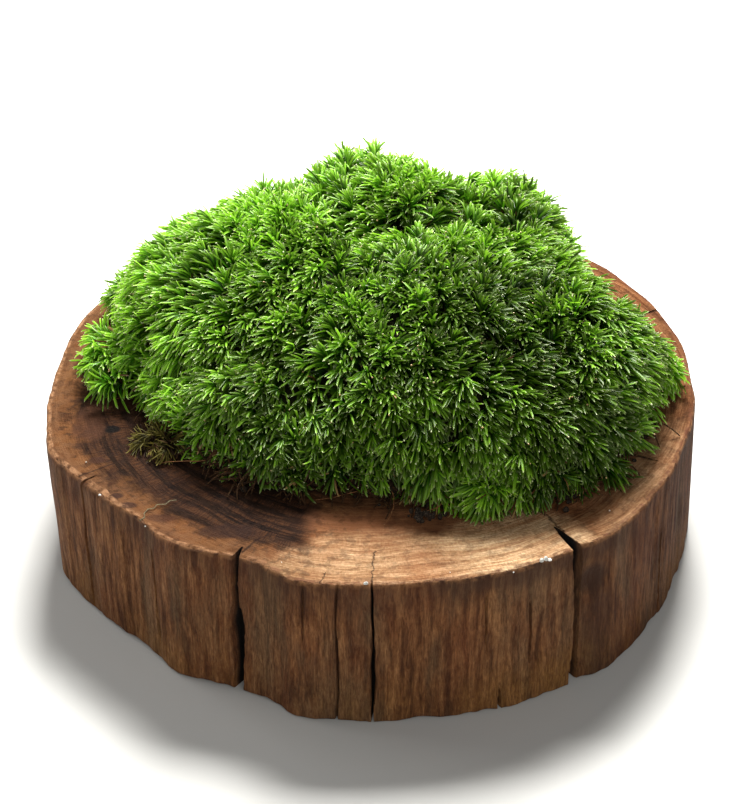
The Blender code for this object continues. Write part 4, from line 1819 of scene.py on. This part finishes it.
@dataclass
class Tufts:
    """The small tufts round the cushion's edge, and the old brown one in front of it."""

    cushion: MossCushion
    fresh: tuple[Tuft, ...] = (
        Tuft("left_tuft", 16, (-0.35, -0.05, 0.6), (1.6, 1.8, 0.0), core=0.74, splay=0.45),
        Tuft("left_back_tuft", 14, (-0.35, 0.1, 0.7), (-1.4, -1.0, -0.6), core=0.6, splay=0.4),
        Tuft("right_tuft", 8, (0.4, 0.0, 0.6), (-2.8, -1.0, 0.0)),
        Tuft("right_back_tuft", 8, (0.3, 0.0, 0.7), (-2.0, -2.0, 0.0), rise=0.12),
        Tuft("front_tuft", 4, (0.05, -0.75, 0.4), (1.2, 4.6, 1.2), 0.4, 0.5, 0.5, 1.1),
    )
    old: Tuft = Tuft(
        "old_tuft", 15, (-0.5, -0.3, 0.6), (-2.2, 4.8, 0.4), 0.8, 0.1, 0.5, 0.75, 0.4
    )

    def plant(self, tuft: Tuft) -> Shoots:
        """Sets a tuft's shoots out in a spiral, leaning outwards from its middle.

        Args:
            tuft: Which tuft, and how its shoots stand.

        Returns:
            Its shoots.
        """
        rng, count = self.cushion.rng, tuft.shoots
        low, high = (np.array(corner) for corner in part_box(tuft.node))
        reach = np.sqrt((np.arange(count) + 0.5) / count)
        turn = np.arange(count) * GOLDEN_ANGLE + rng.normal(0.0, 0.2, count)
        out = round_axis(turn, reach, 0.0)
        foot = (low + high) / 2.0 * [1.0, 1.0, 0.0] + [0.0, 0.0, low[2] + tuft.rise * (high[2] - low[2])]
        apex = foot + np.array(tuft.shift) * MM + out * (high - low) / 2.0 * tuft.core
        apex += rng.normal(0.0, 0.4 * MM, (count, 3))
        apex[:, 2] += 1.6 * MM * (1.0 - reach**2)
        axis = unit(np.array(tuft.toward) + tuft.splay * out + rng.normal(0.0, 0.2, (count, 3)))
        comb = unit(0.8 * out + rng.normal(0.0, 0.4, (count, 3)) - [0.0, 0.0, 0.3])
        comb -= axis * (comb * axis).sum(axis=1, keepdims=True)
        tone = np.clip(rng.normal(0.62, 0.08, count), 0.0, 0.85)
        vigour = rng.normal(tuft.stature, 0.08, count)
        return Shoots(apex, axis, comb, vigour, tone, np.full(count, tuft.age))

    def make_one(self, tuft: Tuft, habit: LeafHabit, leaf: bpy.types.Material) -> None:
        """Grows one tuft.

        Args:
            tuft: Which tuft, and how its shoots stand.
            habit: How its leaves grow.
            leaf: Its leaf material.
        """
        grower = LeafGrower(habit, self.cushion.wood_top, self.cushion.rng)
        piece = grower.piece(f"{tuft.node}_leaves", grower.grow(self.plant(tuft)))
        hand_over(piece, leaf, (tuft.node,))

    def make(self, leaf: bpy.types.Material, old_leaf: bpy.types.Material) -> None:
        """Grows every tuft.

        Args:
            leaf: The fresh leaves' material.
            old_leaf: The dying leaves' material.
        """
        habit = LeafHabit(count=38, stem=4.6 * MM, spreading=34.0)
        for tuft in self.fresh:
            self.make_one(tuft, habit, leaf)
        old = LeafHabit(30, 2.8 * MM, 2.4 * MM, 5.0 * MM, 0.42 * MM, side_curl=40.0)
        self.make_one(self.old, old, old_leaf)


# ----------------------------------------------------------- soil, roots, lint


@dataclass(frozen=True)
class Strands:
    """One kind of strand round the moss's foot. Lengths are in millimetres, turns in radians.

    Each starts inset from the soil's edge, at up to rise above the wood, and sets
    out straight away from the soil, give or take stray.
    """

    name: str
    inset: tuple[float, float]
    rise: float
    length: tuple[float, float]
    stray: float
    curl: float
    radius: float
    lift: float
    finish: MottledFinish
    steps: int = 14


@dataclass
class Ground:
    """What lies between the moss and the wood: soil, crumbs, old stems, roots and lint."""

    effects: Effects
    seed: int = 23
    crumbs: int = 260
    old_stems: int = 170
    roots: int = 46
    edge_bins: int = 48
    stem_kind: Strands = Strands(
        "old_stems", (-1.0, 3.0), 3.5, (3.0, 8.0), 0.7, 0.12, 0.26, 1.2,
        MottledFinish("Dead Stems", paint(30, 20, 13), paint(62, 42, 25), paint(104, 76, 44), 0.8),
    )
    root_kind: Strands = Strands(
        "root_threads", (0.0, 2.0), 2.0, (5.0, 12.0), 0.8, 0.2, 0.13, 0.9,
        MottledFinish("Root Threads", paint(92, 58, 36), paint(140, 94, 60), paint(178, 134, 92), 0.6),
    )

    def __post_init__(self) -> None:
        """Reads the frame's places and sets out the random draws."""
        self.rng = np.random.default_rng(self.seed)
        self.lumps = Lumps(self.seed)
        self.wood_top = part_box("wood_slice")[1].z
        mat = Surface.of_node("soil_mat").points
        self.centre = (mat.min(axis=0) + mat.max(axis=0)) / 2.0
        angles = np.arctan2(mat[:, 1] - self.centre[1], mat[:, 0] - self.centre[0])
        reach = np.hypot(mat[:, 0] - self.centre[0], mat[:, 1] - self.centre[1])
        bins = ((angles + math.pi) / (2.0 * math.pi) * self.edge_bins).astype(int) % self.edge_bins
        self.reach = np.zeros(self.edge_bins)
        np.maximum.at(self.reach, bins, reach)

    def edge(self, angles: np.ndarray) -> np.ndarray:
        """How far the soil reaches from its centre in each direction."""
        bins = (angles + math.pi) / (2.0 * math.pi) * self.edge_bins - 0.5
        return np.interp(bins, np.arange(self.edge_bins), self.reach, period=self.edge_bins)

    def make_mat(self) -> None:
        """Builds the soil as a lumpy pad with a crumbling edge."""
        angles = np.linspace(-math.pi, math.pi, 240, endpoint=False)
        edge = self.edge(angles)
        ragged = self.lumps.rough(round_axis(angles, 55.0, 0.0), 4.0)
        rows = []
        shares = (0.3, 0.55, 0.72, 0.84, 0.92, 0.96, 0.985, 1.0, 1.01, 1.0, 0.98, 0.9)
        heights = (2.6, 2.6, 2.6, 2.6, 2.6, 2.4, 2.1, 1.6, 1.0, 0.4, 0.1, 0.1)
        for share, height in zip(shares, heights):
            radius = edge * share + ragged * 1.6 * MM * smooth(0.7, 1.0, np.full_like(edge, share))
            spot = round_axis(angles, radius, height * MM)
            bumpy = 1.0 + 0.45 * self.lumps.rough(spot / MM, 3.0)
            rows.append(spot + self.centre * [1.0, 1.0, 0.0] + [0.0, 0.0, self.wood_top])
            rows[-1][:, 2] = self.wood_top + np.clip(height * bumpy, 0.05, 4.0) * MM
        number = np.arange(len(rows) * len(angles)).reshape(len(rows), -1)
        faces = [faces_between(number), number[:1], number[-1:, ::-1]]
        piece = piece_of("soil_bed", np.concatenate(rows), faces)
        finish = MottledFinish("Dark Soil", paint(20, 14, 11), paint(44, 32, 24), paint(82, 62, 44), 0.9)
        hand_over(piece, finish.material(self.effects), ("soil_mat",))

    def lumps_at(self, name: str, places: np.ndarray, sizes: np.ndarray, detail: int) -> bpy.types.Object:
        """Makes one object of many small lumps, each a different shape.

        Args:
            name: The piece's name.
            places: Where each lump sits.
            sizes: Radius of each.
            detail: How finely each is split.

        Returns:
            The object.
        """
        lump = ball(detail)
        stretch = self.rng.uniform(0.65, 1.25, (len(places), 1, 3))
        shapes = lump.points[None] * sizes[:, None, None] * stretch
        bumps = self.lumps.rough((shapes + places[:, None] * 9.0).reshape(-1, 3), 0.9 * MM)
        shapes = shapes * (1.0 + 0.5 * bumps.reshape(len(places), -1, 1))
        points = shapes + places[:, None]
        points[..., 2] = np.maximum(points[..., 2], self.wood_top + 0.02 * MM)
        faces = (np.arange(len(places))[:, None, None] * len(lump.points) + lump.faces).reshape(-1, 3)
        return piece_of(name, points.reshape(-1, 3), [faces])

    def make_crumbs(self) -> None:
        """Scatters soil crumbs along the soil's edge, and builds the large one in front."""
        angles = self.rng.uniform(-math.pi, math.pi, self.crumbs)
        out = self.edge(angles) + self.rng.normal(0.3, 1.6, self.crumbs) * MM
        places = round_axis(angles, out, 0.0) + self.centre
        sizes = self.rng.uniform(0.3, 1.0, self.crumbs) ** 1.8 * 0.85 * MM
        places[:, 2] = self.wood_top + sizes * 0.5
        finish = MottledFinish("Soil Crumbs", paint(18, 14, 12), paint(38, 29, 24), paint(96, 84, 70), 1.3)
        piece = self.lumps_at("soil_crumbs", places, sizes, 2)
        hand_over(piece, finish.material(self.effects))
        low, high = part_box("soil_crumb")
        middle = (np.array(low) + np.array(high)) / 2.0
        spread = self.rng.normal(0.0, 1.0, (30, 3)) * [1.6, 0.8, 0.35] * MM
        sizes = self.rng.uniform(0.25, 0.65, 30) * MM
        clod = self.lumps_at("soil_clod", middle + spread, sizes, 3)
        hand_over(clod, finish.material(self.effects), ("soil_crumb",))

    def make_strands(self, kind: Strands, angles: np.ndarray) -> None:
        """Lays curling strands round the moss's foot, as one piece.

        Args:
            kind: Their sizes and finish.
            angles: Direction of each from the middle of the soil.
        """
        rng, count = self.rng, len(angles)
        out = self.edge(angles) - rng.uniform(*kind.inset, count) * MM
        starts = round_axis(angles, out, 0.0) + self.centre
        rise = rng.uniform(0.2, kind.rise, count) * MM
        length = rng.uniform(*kind.length, count) * MM
        headings = angles + rng.normal(0.0, kind.stray, count)
        bend = rng.normal(0.0, kind.curl, (count, 1)) + rng.normal(0.0, kind.curl * 0.6, (count, kind.steps))
        heading = headings[:, None] + np.cumsum(bend, axis=1)
        step = (length / kind.steps)[:, None]
        x = starts[:, :1] + np.cumsum(np.cos(heading) * step, axis=1)
        y = starts[:, 1:2] + np.cumsum(np.sin(heading) * step, axis=1)
        arch = np.sin(np.linspace(0.0, math.pi, kind.steps)) * rng.uniform(0.1, 1.0, (count, 1))
        base = rise[:, None] * np.linspace(1.0, 0.0, kind.steps)
        z = self.wood_top + kind.radius * MM + base + arch * kind.lift * MM
        paths = np.stack([x, y, z], axis=-1)
        radii = np.broadcast_to(kind.radius * MM * np.linspace(1.0, 0.45, kind.steps), paths.shape[:2])
        piece = piece_of(kind.name, *tubes(paths, radii, 5))
        hand_over(piece, kind.finish.material(self.effects))

    def make_lint(self) -> None:
        """Drops a few pale specks and one grey thread on the wood."""
        top = self.wood_top
        spots = np.array([
            (29.6, -62.6), (30.4, -62.2), (31.1, -62.3), (-3.9, -69.3), (12.0, -66.0), (-20.0, -63.0),
            (44.0, -47.0), (24.0, -66.0), (-57.0, -42.0), (-61.0, -31.0), (-47.0, -52.0),
        ]) * MM
        places = np.column_stack([spots, np.full(len(spots), top + 0.1 * MM)])
        sizes = np.array((0.5, 0.55, 0.4, 0.45, 0.16, 0.15, 0.17, 0.18, 0.2, 0.16, 0.18)) * MM
        lint = self.lumps_at("lint_specks", places, sizes, 2)
        finish = MottledFinish("Lint", paint(190, 188, 180), paint(228, 226, 220), paint(246, 244, 240), 1.0)
        hand_over(lint, finish.material(self.effects))
        way = np.array([
            (-41.6, -43.6), (-42.9, -43.9), (-43.6, -45.0), (-45.3, -45.1), (-45.8, -46.3), (-47.0, -46.6),
            (-47.6, -47.9), (-47.4, -49.2), (-48.3, -50.3),
        ]) * MM
        path = np.column_stack([way, np.full(len(way), top + 0.12 * MM)])[None]
        thread = piece_of("grey_thread", *tubes(path, np.full(path.shape[:2], 0.1 * MM), 6))
        finish = MottledFinish(
            "Grey Thread", paint(84, 80, 60), paint(112, 106, 82), paint(138, 132, 106), 1.0
        )
        hand_over(thread, finish.material(self.effects))

    def make(self) -> None:
        """Builds everything that lies on the wood."""
        self.make_mat()
        self.make_crumbs()
        front = self.rng.normal(-2.0, 0.6, self.old_stems)
        self.make_strands(self.stem_kind, front)
        around = self.rng.uniform(-math.pi, math.pi, self.roots)
        self.make_strands(self.root_kind, around)
        self.make_lint()


# ---------------------------------------------------------------------- studio


@dataclass(frozen=True)
class Lamp:
    """A soft square light, aimed at the moss."""

    name: str
    place: tuple[float, float, float]
    size: float
    power: float
    tint: Colour = WHITE


@dataclass(frozen=True)
class Studio:
    """A plain pale floor, soft light and the camera."""

    floor_side: float = 3.0
    floor_colour: Colour = paint(184, 184, 182)
    sky: Colour = (1.0, 1.0, 0.98, 1.0)
    sky_strength: float = 0.17
    aim: tuple[float, float, float] = (0.0, 0.0, 0.045)
    camera_place: tuple[float, float, float] = (-2.5 * MM, -358.3 * MM, 277.0 * MM)
    camera_tilt: float = 55.2
    lens: float = 89.55
    lamps: tuple[Lamp, ...] = (
        Lamp("key", (0.03, 0.34, 0.57), 0.22, 16.0, (1.0, 0.985, 0.95, 1.0)),
        Lamp("side", (-0.58, 0.24, 0.42), 0.4, 1.8, (1.0, 0.99, 0.97, 1.0)),
        Lamp("fill", (0.12, -0.72, 0.52), 0.6, 2.9, (1.0, 0.98, 0.95, 1.0)),
    )

    def make_floor(self, effects: Effects) -> None:
        """Lays the floor, with the faintest unevenness of painted board.

        Args:
            effects: The shared effects.
        """
        half = self.floor_side / 2.0
        corners = np.array([(-half, -half, 0.0), (half, -half, 0.0), (half, half, 0.0), (-half, half, 0.0)])
        floor = piece_of("studio_floor", corners, [np.array([[0, 1, 2, 3]])])
        material, graph, shader = new_finish("Studio Floor")
        patch = effects.patches(graph, graph.millimetres(), 0.004, 0.5, 0.3)
        darker = tuple(0.96 * value for value in self.floor_colour[:3]) + (1.0,)
        graph.fill(shader, {"Base Color": graph.mix(patch, darker, self.floor_colour), "Roughness": 0.7})
        floor.data.materials.append(material)

    def make_lamps(self) -> None:
        """Hangs the soft lights."""
        target = bpy.data.objects.new("light_target", None)
        target.location = self.aim
        bpy.context.scene.collection.objects.link(target)
        for lamp in self.lamps:
            light = bpy.data.lights.new(lamp.name, "AREA")
            light.size = lamp.size
            light.energy = lamp.power
            light.color = lamp.tint[:3]
            holder = bpy.data.objects.new(lamp.name, light)
            holder.location = lamp.place
            aim = holder.constraints.new("TRACK_TO")
            aim.target = target
            aim.track_axis = "TRACK_NEGATIVE_Z"
            aim.up_axis = "UP_Y"
            bpy.context.scene.collection.objects.link(holder)

    def make_sky(self) -> None:
        """Fills the shadows with even light."""
        world = bpy.data.worlds.new("studio_sky")
        world.use_nodes = True
        shade = world.node_tree.nodes["Background"]
        shade.inputs["Color"].default_value = self.sky
        shade.inputs["Strength"].default_value = self.sky_strength
        bpy.context.scene.world = world
        bpy.context.scene.view_settings.view_transform = "Standard"

    def make_camera(self) -> None:
        """Sets the camera in front of the clump, looking down on it."""
        camera = bpy.data.cameras.new("camera")
        camera.lens = self.lens
        camera.clip_start = 10.0 * MM
        holder = bpy.data.objects.new("camera", camera)
        holder.location = self.camera_place
        holder.rotation_euler = (math.radians(self.camera_tilt), 0.0, 0.0)
        bpy.context.scene.collection.objects.link(holder)
        bpy.context.scene.camera = holder

    def make(self, effects: Effects) -> None:
        """Sets up the whole studio.

        Args:
            effects: The shared effects.
        """
        self.make_camera()
        self.make_floor(effects)
        self.make_lamps()
        self.make_sky()


def main() -> None:
    """Builds the studio, the wood, the moss and the ground."""
    logging.basicConfig(level=logging.INFO, format="%(name)s: %(message)s")
    effects = Effects()
    Studio().make(effects)
    WoodSlice(effects).make()
    leaf = LeafFinish().material(effects)
    # The dying tuft's colours are also darkened as painted shade of the hollow under the cushion's front
    # left.
    old_finish = LeafFinish(
        "Dying Moss In Shade", paint(18, 16, 6), paint(64, 60, 18), paint(116, 106, 44), paint(140, 122, 72),
        straw=paint(104, 76, 46), brown=paint(50, 32, 20), roughness=0.7, coat=0.0,
    )
    old_leaf = old_finish.material(effects)
    cushion = MossCushion(effects)
    cushion.make(leaf)
    Tufts(cushion).make(leaf, old_leaf)
    Ground(effects).make()


if __name__ == "__main__":
    main()
